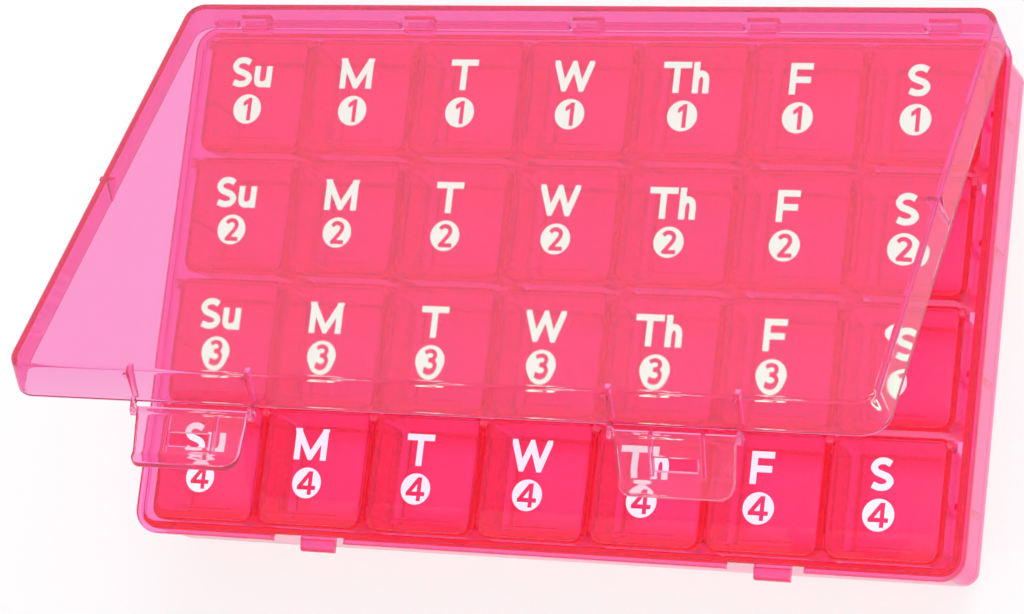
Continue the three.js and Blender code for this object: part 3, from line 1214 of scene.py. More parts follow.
@dataclass
class OuterLid:
    """The large lid: plate, drafted skirt, long hinge pin, latch ears and gussets.

    Attributes:
        plastic: Its material.
        skirt: The skirt's thickness, in millimetres like the other sizes.
        draft: How far the skirt leans in up to the plate.
        edge, inner_bend, skirt_edge: The roundings of the plate's rim, of the bend inside it and
            of the skirt's foot.
        inner_flat, outer_flat: How much of the plate's two faces the wall's section takes in.
        pin_radius, pin_edge: The hinge pin's radius, and the rounding of its ends.
        web_thickness: The thickness of the web that carries the pin.
        gusset, gusset_reach: A gusset's thickness, and its reach along the plate.
        gusset_clear: Its gap above the tray's lip.
        ear, ear_hole, ear_outer: A latch ear's thickness, and the radii of its hole and its round.
        ear_rise: How far an ear reaches up the skirt.
        ear_clear: How far its straight part stands out in front of the skirt.
        ear_start, ear_sweep, ear_steps: Its round's arc in degrees, and its steps.
        hole_sides: The sides of its hole.
        notch_clear: The play between a hook and the cut for it.
        notch_height, notch_reach: How far that cut reaches up the skirt and behind the hinge.
    """

    plastic: bpy.types.Material
    skirt: float = 1.1
    draft: float = 1.07
    edge: float = 1.35
    inner_bend: float = 0.4
    skirt_edge: float = 0.35
    inner_flat: float = 3.0
    outer_flat: float = 4.0
    pin_radius: float = 1.0
    pin_edge: float = 0.2
    web_thickness: float = 1.3
    gusset: float = 1.0
    gusset_reach: float = 2.2
    gusset_clear: float = 0.3
    ear: float = 0.8
    ear_hole: float = 0.65
    ear_outer: float = 1.05
    ear_rise: float = 1.4
    ear_clear: float = 0.3
    ear_start: float = 125.0
    ear_sweep: float = 145.0
    ear_steps: int = 8
    hole_sides: int = 20
    notch_clear: float = 0.5
    notch_height: float = 2.5
    notch_reach: float = 4.0

    def make(self) -> None:
        """Builds the lid and puts it on the frame."""
        body = self.shell()
        body.work(self.web(), Working.JOIN)
        body.work(self.notches(), Working.CUT)
        half = SIZES.hinge_length / 2
        axis = (SIZES.hinge_y, SIZES.hinge_z)
        pin = Workpiece.rod("pin", axis, self.pin_radius, -half, half)
        body.work(pin.soften(self.pin_edge), Working.JOIN)
        ear_x = SIZES.latch_width / 2 + SIZES.latch_clear + self.ear / 2
        for side in (-1, 1):
            middle = side * SIZES.latch_x
            for end in (-1, 1):
                x = middle + end * ear_x
                body.work(self.latch_ear(x), Working.JOIN)
                body.work(self.front_gusset(x), Working.JOIN)
            body.work(self.side_gusset(side), Working.JOIN)
        body.place(SIZES.lid_pose())
        body.polish(self.plastic).mount("outer_lid", "outer_lid_plastic", "outer_lid")

    def shell(self) -> Workpiece:
        """Makes the plate and skirt in one wall section.

        Returns:
            The shell.
        """
        inside = self.draft + self.skirt
        bends = (
            Bend(inside + self.inner_flat, SIZES.plate_bottom),
            Bend(inside, SIZES.plate_bottom, self.inner_bend),
            Bend(self.skirt, SIZES.skirt_bottom, self.skirt_edge),
            Bend(0, SIZES.skirt_bottom, self.skirt_edge),
            Bend(self.draft, SIZES.cover_top, self.edge),
            Bend(self.draft + self.outer_flat, SIZES.cover_top),
        )
        return Workpiece.moulded("outer_lid_moulding", SIZES.outline(), bends, steps=10)

    def web(self) -> Workpiece:
        """Makes the web that carries the hinge pin.

        Returns:
            The web.
        """
        half = SIZES.hinge_length / 2
        face = SIZES.depth / 2 - self.skirt / 2
        deep = self.pin_radius / 2
        top = SIZES.skirt_bottom + self.web_thickness
        section = [
            (face, SIZES.skirt_bottom),
            (SIZES.hinge_y - deep, SIZES.hinge_z - deep),
            (SIZES.hinge_y + deep, SIZES.hinge_z + deep),
            (SIZES.depth / 2, top),
            (face, top),
        ]
        return Workpiece.along_x("web", section, -half, half)

    def notches(self) -> Workpiece:
        """Makes the cuts that let the tray's hooks reach round the pin.

        Returns:
            The row of cutting blocks.
        """
        span = SIZES.hook_width / 2 + self.notch_clear
        notch = Workpiece.block(
            "notch",
            (-span, SIZES.inner_depth / 2, SIZES.skirt_bottom - SPARE),
            (span, SIZES.hinge_y + self.notch_reach, SIZES.skirt_bottom + self.notch_height),
        )
        return SIZES.at_hooks(notch, self.plastic)

    def latch_ear(self, x: float) -> Workpiece:
        """Makes one ear with the hole for a latch's pin.

        Args:
            x: Its middle along X.

        Returns:
            The ear.
        """
        axis = (SIZES.latch_y, SIZES.latch_z)
        front = -SIZES.depth / 2
        clear, face = front - self.ear_clear, front + self.skirt / 2
        top = SIZES.skirt_bottom + self.ear_rise
        section = [
            (clear, SIZES.latch_z - self.ear_outer),
            (clear, SIZES.skirt_bottom),
            (face, SIZES.skirt_bottom),
            (face, top),
            (front, top),
            *arc(axis, self.ear_outer, self.ear_start, self.ear_sweep, self.ear_steps),
        ]
        ear = Workpiece.along_x("ear", section, x - self.ear / 2, x + self.ear / 2)
        hole = Workpiece.rod(
            "hole", axis, self.ear_hole, x - self.ear, x + self.ear, self.hole_sides
        )
        return ear.work(hole, Working.CUT)

    def gusset_section(self, face: float, inward: int) -> Section:
        """Gives a gusset's outline, across and up.

        Args:
            face: The skirt's inner face.
            inward: The direction of the lid's middle.

        Returns:
            The outline, which reaches into the skirt and the plate.
        """
        foot = SIZES.lip_top + self.gusset_clear
        top = (SIZES.plate_bottom + SIZES.cover_top) / 2
        reach = face + inward * self.gusset_reach
        return [
            (face, foot),
            (reach, SIZES.plate_bottom),
            (reach, top),
            (face - inward * self.skirt, top),
            (face - inward * self.skirt / 2, foot),
        ]

    def front_gusset(self, x: float) -> Workpiece:
        """Makes a gusset behind the front skirt.

        Args:
            x: Its middle along X.

        Returns:
            The gusset.
        """
        face = -SIZES.depth / 2 + self.draft / 2 + self.skirt
        half = self.gusset / 2
        return Workpiece.along_x("gusset", self.gusset_section(face, 1), x - half, x + half)

    def side_gusset(self, side: int) -> Workpiece:
        """Makes the gusset in the middle of a side skirt.

        Args:
            side: -1 at the left, 1 at the right.

        Returns:
            The gusset.
        """
        face = SIZES.width / 2 - self.draft / 2 - self.skirt
        half = self.gusset / 2
        gusset = Workpiece.along_x("gusset", self.gusset_section(face, -1), -half, half)
        return gusset.place(Matrix.Rotation(-side * math.pi / 2, 4, "Z"))


@dataclass
class Latch:
    """A flared flap with a slot, two ribs and a barrel with two pins.

    Attributes:
        plastic: Its material.
        thickness: The flap's thickness, in millimetres like the other sizes.
        barrel, barrel_edge: The barrel's radius, and the rounding of its ends.
        straight, flare_length: The lengths of the straight part and of the flare.
        flare_angle, bend_radius: The flare's angle in degrees, and the radius of the bend.
        taper: How much each side draws in down to the lower end.
        corner, corner_steps: The radius of the lower corners, and their steps.
        length_steps, least_step: The even steps along the flap, and the least of them.
        edge, edge_steps: The rounding of the long edges, and its steps.
        tip_edge: What keeps the last section from closing up.
        edge_share: The most of its half thickness that a section's rounding takes.
        slot_width, slot_height, slot_drop: The slot, and its middle's distance from the pins.
        slot_reach: How far the slot's cutter reaches to each side.
        rib_spacing, rib, rib_edge: The ribs' spacing, width and rounding.
        rib_top, rib_foot: How far they end below the pins and above the bend.
        pin_radius, pin_length, pin_sides: The pins' radius, length and sides.
    """

    plastic: bpy.types.Material
    thickness: float = 1.2
    barrel: float = 0.8
    barrel_edge: float = 0.12
    straight: float = 8.2
    flare_length: float = 3.4
    flare_angle: float = 35.0
    taper: float = 0.8
    corner: float = 2.4
    corner_steps: int = 10
    length_steps: int = 24
    least_step: float = 0.2
    edge: float = 0.3
    edge_steps: int = 3
    tip_edge: float = 0.02
    edge_share: float = 0.95
    slot_width: float = 8.6
    slot_height: float = 2.7
    slot_drop: float = 5.3
    slot_reach: float = 3.0
    rib_spacing: float = 10.0
    rib: float = 0.8
    rib_top: float = 0.2
    rib_foot: float = 0.4
    rib_edge: float = 0.15
    pin_radius: float = 0.45
    pin_length: float = 0.9
    pin_sides: int = 16
    bend_radius: float = 2.2

    def make(self, name: str, side: int) -> None:
        """Builds a latch and puts it on the frame.

        Args:
            name: Its node's name.
            side: -1 at the left, 1 at the right.
        """
        middle = side * SIZES.latch_x
        half = SIZES.latch_width / 2
        y, z = SIZES.latch_y, SIZES.latch_z
        flap = self.flap(name + "_moulding", middle)
        barrel = Workpiece.rod("barrel", (y, z), self.barrel, middle - half, middle + half)
        flap.work(barrel.soften(self.barrel_edge), Working.JOIN)
        reach = half + SIZES.latch_clear + self.pin_length
        pins = Workpiece.rod(
            "pins", (y, z), self.pin_radius, middle - reach, middle + reach, self.pin_sides
        )
        flap.work(pins, Working.JOIN)
        rib = Workpiece.block(
            "rib",
            (-self.rib / 2, y, z - self.straight + self.rib_foot),
            (self.rib / 2, y + self.thickness / 2 + self.rib, z - self.rib_top),
        ).soften(self.rib_edge)
        first = (middle - self.rib_spacing / 2, 0, 0)
        flap.work(rib.row(2, first, (self.rib_spacing, 0, 0), self.plastic), Working.JOIN)
        slot_z = z - self.slot_drop
        slot = Workpiece.block(
            "slot",
            (middle - self.slot_width / 2, y - self.slot_reach, slot_z - self.slot_height / 2),
            (middle + self.slot_width / 2, y + self.slot_reach, slot_z + self.slot_height / 2),
        )
        flap.work(slot, Working.CUT)
        opened = SIZES.left_latch_open if side < 0 else SIZES.right_latch_open
        flap.place(SIZES.lid_pose() @ swing(y, z, opened))
        flap.polish(self.plastic).mount(name, "outer_lid_plastic", name)

    def spine(self, along: float) -> tuple[float, float, float]:
        """Gives the flap's middle line.

        Args:
            along: The distance below the barrel's axis.

        Returns:
            How far forward and how far down it is, and its lean in radians.
        """
        flare = math.radians(self.flare_angle)
        tangent = self.bend_radius * math.tan(flare / 2)
        start = self.straight - tangent
        bend = self.bend_radius * flare
        if along <= start:
            return 0.0, along, 0.0
        if along <= start + bend:
            lean = (along - start) / self.bend_radius
            forward = self.bend_radius * (1 - math.cos(lean))
            return forward, start + self.bend_radius * math.sin(lean), lean
        rest = along - start - bend
        forward = self.bend_radius * (1 - math.cos(flare)) + rest * math.sin(flare)
        down = start + self.bend_radius * math.sin(flare) + rest * math.cos(flare)
        return forward, down, flare

    def flap(self, name: str, middle: float) -> Workpiece:
        """Makes the bent flap with round lower corners.

        Args:
            name: Its name.
            middle: Its middle along X.

        Returns:
            The flap.
        """
        flare = math.radians(self.flare_angle)
        length = self.straight + self.flare_length
        length -= 2 * self.bend_radius * math.tan(flare / 2) - self.bend_radius * flare
        corner_start = length - self.corner
        even = [length * step / self.length_steps for step in range(self.length_steps)]
        distances = [distance for distance in even if distance < corner_start - self.least_step]
        for step in range(self.corner_steps + 1):
            angle = math.pi / 2 * step / self.corner_steps
            distances.append(corner_start + self.corner * math.sin(angle))
        rings = []
        for distance in distances:
            past = max(distance - corner_start, 0) / self.corner
            drawn = self.corner * (1 - math.sqrt(max(1 - past * past, 0)))
            half = SIZES.latch_width / 2 - self.taper * distance / length - drawn
            tip = min(length - distance, self.edge)
            thick = self.thickness / 2 - self.edge
            thick += self.edge * math.sqrt(max(1 - (1 - tip / self.edge) ** 2, self.tip_edge))
            forward, down, lean = self.spine(distance)
            rings.append(self.cross_section(middle, half, thick, forward, down, lean))
        return Workpiece.loft(name, rings)

    def cross_section(
        self, middle: float, half: float, thick: float, forward: float, down: float, lean: float
    ) -> list[Point]:
        """Gives one round-edged section across the flap.

        Args:
            middle: Its middle along X.
            half: Half its width.
            thick: Half its thickness.
            forward: How far forward its middle is.
            down: How far down its middle is.
            lean: Its lean in radians.

        Returns:
            The section's points.
        """
        edge = min(self.edge, thick * self.edge_share)
        points = []
        for across, through, start in ((1, -1, -90), (1, 1, 0), (-1, 1, 90), (-1, -1, 180)):
            corner = (across * (half - edge), through * (thick - edge))
            for x, depth in arc(corner, edge, start, 90, self.edge_steps):
                y = SIZES.latch_y - forward + depth * math.cos(lean)
                z = SIZES.latch_z - down - depth * math.sin(lean)
                points.append((middle + x, y, z))
        return points[::-1]


@dataclass
class WeekStrip:
    """A strip of seven tubs, joined by webs and by the ears between the lids.

    Attributes:
        plastic: Its material.
        wall, floor: The thickness of a tub's walls and floor, in millimetres like the other sizes.
        draft: How far each wall leans in down to the floor.
        edge, mouth_edge: The roundings of the underside and of the mouth.
        front_radius, back_radius: A tub's corners in plan.
        outer_flat, inner_flat, front_flat: How much of the floor's two faces the wall's section
            takes in, and of its inner face at the front.
        scoop_length, scoop_height, scoop_steps: The scoop up the front wall, and its steps.
        fillet: The rounding between the other walls and the floor.
        front_wall: The front wall's thickness at the mouth.
        web_top, web_depth: The height of a web's top, and its depth.
        web_front, web_back: How far it ends short of the tubs' front and back.
        ear, end_ear: The thickness of the ears between the lids and of those at the ends.
        end_clear: The play between an end ear and its lid.
        ear_radius, ear_root, ear_steps: An ear's round, its root below the deck, and its steps.
        ear_hole, hole_reach, hole_sides: The radius of its hole, and its cutter's reach and sides.
        side_inset: How far a day lid's sides lie inside its tub's.
    """

    plastic: bpy.types.Material
    wall: float = 1.1
    floor: float = 1.2
    draft: float = 1.1
    edge: float = 2.0
    mouth_edge: float = 0.25
    front_radius: float = 2.9
    back_radius: float = 2.2
    outer_flat: float = 4.0
    inner_flat: float = 7.0
    front_flat: float = 3.5
    scoop_length: float = 5.6
    scoop_height: float = 8.0
    scoop_steps: int = 8
    fillet: float = 4.0
    front_wall: float = 1.9
    web_top: float = 18.6
    web_depth: float = 2.2
    web_front: float = 5.0
    web_back: float = 4.0
    ear: float = 1.4
    end_ear: float = 0.9
    end_clear: float = 0.3
    ear_radius: float = 1.0
    ear_hole: float = 0.62
    ear_root: float = 2.2
    ear_steps: int = 10
    hole_reach: float = 1.5
    hole_sides: int = 20
    side_inset: float = 0.8

    def make(self) -> None:
        """Builds the four strips and puts them on the frame."""
        pattern = self.pattern()
        for week in range(SIZES.weeks):
            node = f"week_{week + 1}_strip"
            strip = pattern.copy(node + "_moulding")
            strip.place(Matrix.Translation((0, SIZES.week_y(week) * MM, 0)))
            strip.polish(self.plastic).mount(node, "strip_plastic", node)
        pattern.discard()

    def pattern(self) -> Workpiece:
        """Makes one strip about the origin.

        Returns:
            The strip.
        """
        step = (SIZES.pitch_x, 0, 0)
        first_tub = (SIZES.day_x(0), 0, 0)
        strip = self.tub().row(SIZES.days, first_tub, step, self.plastic)
        reach = (SIZES.pitch_x - SIZES.tub_width) / 2 + self.wall / 2
        web = Workpiece.block(
            "web",
            (-reach, -SIZES.tub_depth / 2 + self.web_front, self.web_top - self.web_depth),
            (reach, SIZES.tub_depth / 2 - self.web_back, self.web_top),
        )
        first_gap = (SIZES.day_x(0) + SIZES.pitch_x / 2, 0, 0)
        for piece in (web, self.ear_blank(self.ear)):
            joints = piece.row(SIZES.days - 1, first_gap, step, self.plastic)
            strip.work(joints, Working.JOIN)
        end = SIZES.day_x(SIZES.days - 1) + SIZES.tub_width / 2 - self.side_inset
        end += self.end_clear + self.end_ear / 2
        blank = self.ear_blank(self.end_ear)
        strip.work(blank.row(2, (-end, 0, 0), (2 * end, 0, 0), self.plastic), Working.JOIN)
        axis = (SIZES.day_axis_y, SIZES.day_axis_z)
        hole = Workpiece.rod(
            "hole", axis, self.ear_hole, -self.hole_reach, self.hole_reach, self.hole_sides
        )
        first_hole = (SIZES.day_x(0) - SIZES.pitch_x / 2, 0, 0)
        return strip.work(hole.row(SIZES.days + 1, first_hole, step, self.plastic), Working.CUT)

    def tub(self) -> Workpiece:
        """Makes one tub, with a scoop up its front wall and a fillet round its floor.

        Returns:
            The tub.
        """
        outline = centred(SIZES.tub_width, SIZES.tub_depth, self.front_radius, self.back_radius)
        height = SIZES.deck_top - SIZES.strip_bottom
        floor_z = SIZES.strip_bottom + self.floor
        bends = [
            Bend(self.draft + self.outer_flat, SIZES.strip_bottom),
            Bend(self.draft, SIZES.strip_bottom, self.edge),
            Bend(0, SIZES.deck_top, self.mouth_edge),
            Bend(self.wall, SIZES.deck_top, self.mouth_edge, self.front_wall),
        ]
        for step in range(self.scoop_steps + 1):
            angle = math.pi / 2 * (1 - step / self.scoop_steps)
            rise = self.scoop_height * (1 - math.cos(angle))
            lost = 1 - math.sin(angle)
            drawn = self.draft * (1 - (floor_z + rise - SIZES.strip_bottom) / height)
            above = max(self.fillet - rise, 0)
            side = self.wall + drawn + self.fillet - math.sqrt(self.fillet**2 - above**2)
            front = self.front_wall + drawn + self.scoop_length * lost
            bends.append(Bend(side, floor_z + rise, 0, front))
        front = self.front_wall + self.scoop_length + self.front_flat
        bends.append(Bend(self.wall + self.inner_flat, floor_z, 0, front))
        return Workpiece.moulded("tub", outline, bends, steps=6, round_steps=3)

    def ear_blank(self, thickness: float) -> Workpiece:
        """Makes an ear without its hole.

        Args:
            thickness: Its thickness.

        Returns:
            The ear, about the origin.
        """
        y, z = SIZES.day_axis_y, SIZES.day_axis_z
        foot = SIZES.deck_top - self.ear_root
        section = [
            (y - self.ear_radius, foot),
            (y + self.ear_radius, foot),
            *arc((y, z), self.ear_radius, 0, 180, self.ear_steps),
        ]
        return Workpiece.along_x("ear", section, -thickness / 2, thickness / 2)


@dataclass
class DayLid:
    """The lid of one tub: a soft-edged plate with a snap tab below and two pins.

    Attributes:
        plastic: Its material.
        inks: The ink of each week's prints.
        side_inset, front_inset: How far its sides and its front lie inside the tub's, in
            millimetres like the other sizes.
        edge: The rounding of its rim.
        flat: How much of its two faces the rim's section takes in.
        front_radius, back_radius: Its corners in plan.
        pin_radius, pin_length, pin_sides: The pins' radius, length and sides.
        tab_width, tab_depth, tab_drop: The tab, and how far it reaches below the lid.
        tab_inset, tab_edge: How far it lies behind the tub's front, and its rounding.
    """

    plastic: bpy.types.Material
    inks: Sequence[bpy.types.Material]
    side_inset: float = 0.8
    front_inset: float = 0.4
    edge: float = 0.5
    flat: float = 4.0
    front_radius: float = 2.5
    back_radius: float = 1.4
    pin_radius: float = 0.42
    pin_length: float = 0.85
    pin_sides: int = 16
    tab_width: float = 12.4
    tab_depth: float = 0.9
    tab_drop: float = 0.5
    tab_inset: float = 2.2
    tab_edge: float = 0.4

    def make(self) -> None:
        """Builds the 28 lids and their prints and puts them on the frame."""
        pattern = self.pattern()
        printer = DayPrint()
        for week in range(SIZES.weeks):
            for number, day in enumerate(Day):
                node = f"day_lid_{week + 1}_{number + 1}"
                place = Matrix.Translation(
                    (SIZES.day_x(number) * MM, SIZES.week_y(week) * MM, 0)
                )
                lid = pattern.copy(node + "_moulding").place(place)
                lid.polish(self.plastic).mount(node, "day_lid_plastic", node)
                printed = printer.pull(f"print_{week + 1}_{number + 1}", day, week + 1)
                printed.place(place).dress(self.inks[week]).mount(node)
        pattern.discard()
        printer.clean()

    def pattern(self) -> Workpiece:
        """Makes one lid about the origin.

        Returns:
            The lid.
        """
        low, high = SIZES.day_lid_bottom, SIZES.day_lid_top
        half = SIZES.tub_width / 2 - self.side_inset
        front = -SIZES.tub_depth / 2
        back = SIZES.day_axis_y + (high - low) / 2
        outline = Outline(
            -half, half, front + self.front_inset, back, self.front_radius, self.back_radius
        )
        bends = (
            Bend(self.flat, low),
            Bend(0, low, self.edge),
            Bend(0, high, self.edge),
            Bend(self.flat, high),
        )
        lid = Workpiece.moulded("day_lid", outline, bends, steps=8)
        tab_front = front + self.tab_inset
        tab = Workpiece.block(
            "tab",
            (-self.tab_width / 2, tab_front, low - self.tab_drop),
            (self.tab_width / 2, tab_front + self.tab_depth, SIZES.day_axis_z),
        ).soften(self.tab_edge, 3)
        lid.work(tab, Working.JOIN)
        tip = half + self.pin_length
        axis = (SIZES.day_axis_y, SIZES.day_axis_z)
        pins = Workpiece.rod("pins", axis, self.pin_radius, -tip, tip, self.pin_sides)
        return lid.work(pins, Working.JOIN)


@dataclass(frozen=True)
class Glyph:
    """One letter or numeral, drawn with a broad pen in a box one wide and one high.

    Attributes:
        width: The box's width, as a share of the lettering's height.
        strokes: The pen's paths. What lies outside the box is trimmed off, which squares the ends.
            A path of more than five points is a smooth curve.
        rise: The box's height, as a share of the lettering's height.
    """

    width: float
    strokes: tuple[tuple[tuple[float, float], ...], ...]
    rise: float = 1.0


# Plain upright lettering, drawn for this object and not copied from any maker's
GLYPHS = {
    "S": Glyph(
        0.76,
        (
            (
                (0.96, 0.90), (0.62, 1.0), (0.25, 0.96), (0.04, 0.76), (0.20, 0.58), (0.52, 0.49),
                (0.84, 0.39), (0.98, 0.22), (0.78, 0.04), (0.40, 0.0), (0.02, 0.09),
            ),
        ),
    ),
    "u": Glyph(
        0.62,
        (
            (
                (0.0, 1.4), (0.0, 0.8), (0.0, 0.38), (0.12, 0.09), (0.46, 0.0), (0.84, 0.12),
                (1.0, 0.4),
            ),
            ((1.0, -0.4), (1.0, 1.4)),
        ),
        0.71,
    ),
    "M": Glyph(
        1.17,
        (
            ((0.03, -0.3), (0.03, 1.3)),
            ((0.97, -0.3), (0.97, 1.3)),
            ((-0.08, 1.25), (0.5, 0.0), (1.08, 1.25)),
        ),
    ),
    "T": Glyph(0.92, (((-0.3, 1.0), (1.3, 1.0)), ((0.5, -0.3), (0.5, 1.0)))),
    "W": Glyph(
        1.32,
        (((-0.08, 1.3), (0.24, 0.0), (0.5, 0.97), (0.76, 0.0), (1.08, 1.3)),),
    ),
    "h": Glyph(
        0.54,
        (
            ((0.0, -0.3), (0.0, 1.3)),
            (
                (0.0, 0.38), (0.14, 0.57), (0.5, 0.66), (0.88, 0.57), (1.0, 0.34), (1.0, 0.1),
                (1.0, -0.3),
            ),
        ),
    ),
    "F": Glyph(
        0.72,
        (((0.0, -0.3), (0.0, 1.3)), ((0.0, 1.0), (1.4, 1.0)), ((0.0, 0.46), (1.1, 0.46))),
    ),
    "1": Glyph(0.40, (((0.95, -0.3), (0.95, 1.3)), ((1.0, 1.02), (-0.5, 0.74)))),
    "2": Glyph(
        0.68,
        (
            (
                (0.02, 0.84), (0.24, 0.97), (0.52, 1.0), (0.86, 0.90), (0.94, 0.70), (0.74, 0.46),
                (0.40, 0.20), (0.06, -0.06),
            ),
            ((0.0, 0.0), (1.4, 0.0)),
        ),
    ),
    "3": Glyph(
        0.68,
        (
            (
                (0.02, 0.90), (0.40, 1.0), (0.80, 0.94), (0.92, 0.76), (0.76, 0.58), (0.36, 0.53),
            ),
            (
                (0.36, 0.53), (0.78, 0.47), (1.0, 0.27), (0.84, 0.06), (0.44, 0.0), (0.0, 0.07),
            ),
        ),
    ),
    "4": Glyph(
        0.84,
        (
            ((0.80, 1.16), (-0.02, 0.26)),
            ((-0.3, 0.26), (1.4, 0.26)),
            ((0.74, -0.3), (0.74, 1.3)),
        ),
    ),
}


@dataclass(frozen=True)
class BroadPen:
    """A pen that draws lettering as thin solids.

    Attributes:
        width: The width of its stroke, in millimetres.
        height: The height of its lettering.
        gap: The gap between letters, as a share of that height.
        reach: How far its solids reach above and below the ink that is kept.
        reach_step: How much further each later stroke reaches, so that no faces coincide.
        most_points: The points of the longest path that is drawn with straight sides.
        least_turn: How sharp a corner's outside may get, as the least cosine of half its turn.
    """

    width: float
    height: float
    gap: float = 0.07
    reach: float = 0.5
    reach_step: float = 0.01
    most_points: int = 5
    least_turn: float = 0.2

    @staticmethod
    def smooth(path: Sequence[Vector], steps: int = 6) -> list[Vector]:
        """Runs a smooth curve through the points of a path.

        Args:
            path: The points.
            steps: The steps between two points.

        Returns:
            The points of the curve.
        """
        corners = [path[0], *path, path[-1]]
        points: list[Vector] = []
        for before, here, ahead, after in zip(corners, corners[1:], corners[2:], corners[3:]):
            for step in range(steps):
                t = step / steps
                slope = (ahead - before) * t
                swell = (2 * before - 5 * here + 4 * ahead - after) * t**2
                twist = (3 * here - before - 3 * ahead + after) * t**3
                points.append((2 * here + slope + swell + twist) / 2)
        points.append(path[-1])
        return points

    def stroke(self, path: Sequence[Vector], low: float, high: float) -> Workpiece:
        """Makes one stroke of the pen.

        Args:
            path: Its middle line, in millimetres.
            low: Its lowest height.
            high: Its highest height.

        Returns:
            The stroke.
        """
        points = self.smooth(path) if len(path) > self.most_points else list(path)
        left, right = [], []
        for index, point in enumerate(points):
            ways = []
            if index > 0:
                ways.append((point - points[index - 1]).normalized())
            if index + 1 < len(points):
                ways.append((points[index + 1] - point).normalized())
            way = (ways[0] + ways[-1]).normalized()
            half = self.width / 2 / max(way.dot(ways[0]), self.least_turn)
            across = Vector((-way.y, way.x)) * half
            left.append(point + across)
            right.append(point - across)
        outline = right + left[::-1]
        rings = [[(corner.x, corner.y, z) for corner in outline] for z in (low, high)]
        return Workpiece.loft("stroke", rings)

    def letter(
        self, glyph: Glyph, left: float, bottom: float, low: float, high: float
    ) -> Workpiece:
        """Draws one letter or numeral.

        Args:
            glyph: What is drawn.
            left: The left side of its box.
            bottom: The bottom of its box.
            low: The ink's lowest height.
            high: The ink's highest height.

        Returns:
            The letter.
        """
        wide, tall = glyph.width * self.height, glyph.rise * self.height
        across, up, half = wide - self.width, tall - self.width, self.width / 2
        drawn: Workpiece | None = None
        for index, path in enumerate(glyph.strokes):
            middle = [Vector((left + half + x * across, bottom + half + y * up)) for x, y in path]
            extra = self.reach + index * self.reach_step
            stroke = self.stroke(middle, low - extra, high + extra)
            drawn = stroke if drawn is None else drawn.work(stroke, Working.JOIN)
        box = Workpiece.block("box", (left, bottom, low), (left + wide, bottom + tall, high))
        return drawn.work(box, Working.TRIM)

    def write(self, text: str, x: float, y: float, low: float, high: float) -> Workpiece:
        """Writes a word about a place.

        Args:
            text: The word.
            x: Its middle along X.
            y: Its middle along Y.
            low: The ink's lowest height.
            high: The ink's highest height.

        Returns:
            The word.
        """
        glyphs = [GLYPHS[sign] for sign in text]
        total = sum(glyph.width for glyph in glyphs) + self.gap * (len(glyphs) - 1)
        left = x - total * self.height / 2
        word: Workpiece | None = None
        for glyph in glyphs:
            letter = self.letter(glyph, left, y - self.height / 2, low, high)
            word = letter if word is None else word.work(letter, Working.JOIN)
            left += (glyph.width + self.gap) * self.height
        return word


@dataclass
class DayPrint:
    """The print on a lid: a weekday over a disc with the week's number left clear.

    Attributes:
        lift: How far the ink's underside lies above the lid, so that no faces coincide.
        ink: The ink's thickness.
        shift_x: The print's middle along X.
        letter_y: The weekday's middle along Y.
        disc_radius: The disc's radius.
        disc_y: The disc's middle along Y.
        disc_sides: The disc's sides.
        letter_pen: What draws the weekday.
        number_pen: What draws the number.
    """

    lift: float = 0.012
    ink: float = 0.03
    shift_x: float = -1.0
    letter_y: float = 4.55
    disc_radius: float = 3.16
    disc_y: float = -3.38
    disc_sides: int = 64
    letter_pen: BroadPen = BroadPen(1.3, 6.45)
    number_pen: BroadPen = BroadPen(0.88, 4.85)

    def __post_init__(self) -> None:
        """Keeps one word for each day and one disc for each week."""
        self.words: dict[Day, Workpiece] = {}
        self.discs: dict[int, Workpiece] = {}

    def disc(self, week: int) -> Workpiece:
        """Makes a disc with a week's number left clear.

        Args:
            week: The week.

        Returns:
            The disc.
        """
        low = SIZES.day_lid_top + self.lift
        edge = arc((self.shift_x, self.disc_y), self.disc_radius, 0, 360, self.disc_sides)[:-1]
        rings = [[(x, y, z) for x, y in edge] for z in (low, low + self.ink)]
        number = self.number_pen.write(
            str(week), self.shift_x, self.disc_y, low - self.ink, low + 2 * self.ink
        )
        return Workpiece.loft("disc", rings).work(number, Working.CUT)

    def pull(self, name: str, day: Day, week: int) -> Workpiece:
        """Makes the print of one lid about the origin.

        Args:
            name: Its name.
            day: The day.
            week: The week.

        Returns:
            The print.
        """
        low = SIZES.day_lid_top + self.lift
        if day not in self.words:
            self.words[day] = self.letter_pen.write(
                day.value, self.shift_x, self.letter_y, low, low + self.ink
            )
        if week not in self.discs:
            self.discs[week] = self.disc(week)
        printed = self.words[day].copy(name)
        form = bmesh.new()
        form.from_mesh(self.words[day].object.data)
        form.from_mesh(self.discs[week].object.data)
        form.to_mesh(printed.object.data)
        form.free()
        return printed

    def clean(self) -> None:
        """Takes the patterns off the bench."""
        for pattern in (*self.words.values(), *self.discs.values()):
            pattern.discard()


# The studio


@dataclass(frozen=True)
class Softbox:
    """One soft lamp, which looks at the case.

    Attributes:
        name: Its name.
        place: Where it hangs, in metres.
        width: Its width, in metres.
        height: Its height, in metres.
        power: Its power, in watts.
        target: Where it looks, in metres.
    """

    name: str
    place: Point
    width: float
    height: float
    power: float
    target: Point = (0.0, 0.0, 0.02)

    def hang(self) -> None:
        """Hangs the lamp."""
        lamp = bpy.data.lights.new(self.name, "AREA")
        lamp.shape = "RECTANGLE"
        lamp.size = self.width
        lamp.size_y = self.height
        lamp.energy = self.power
        holder = bpy.data.objects.new(self.name, lamp)
        bpy.context.scene.collection.objects.link(holder)
        way = Vector(self.target) - Vector(self.place)
        holder.location = self.place
        holder.rotation_euler = way.to_track_quat("-Z", "Y").to_euler()


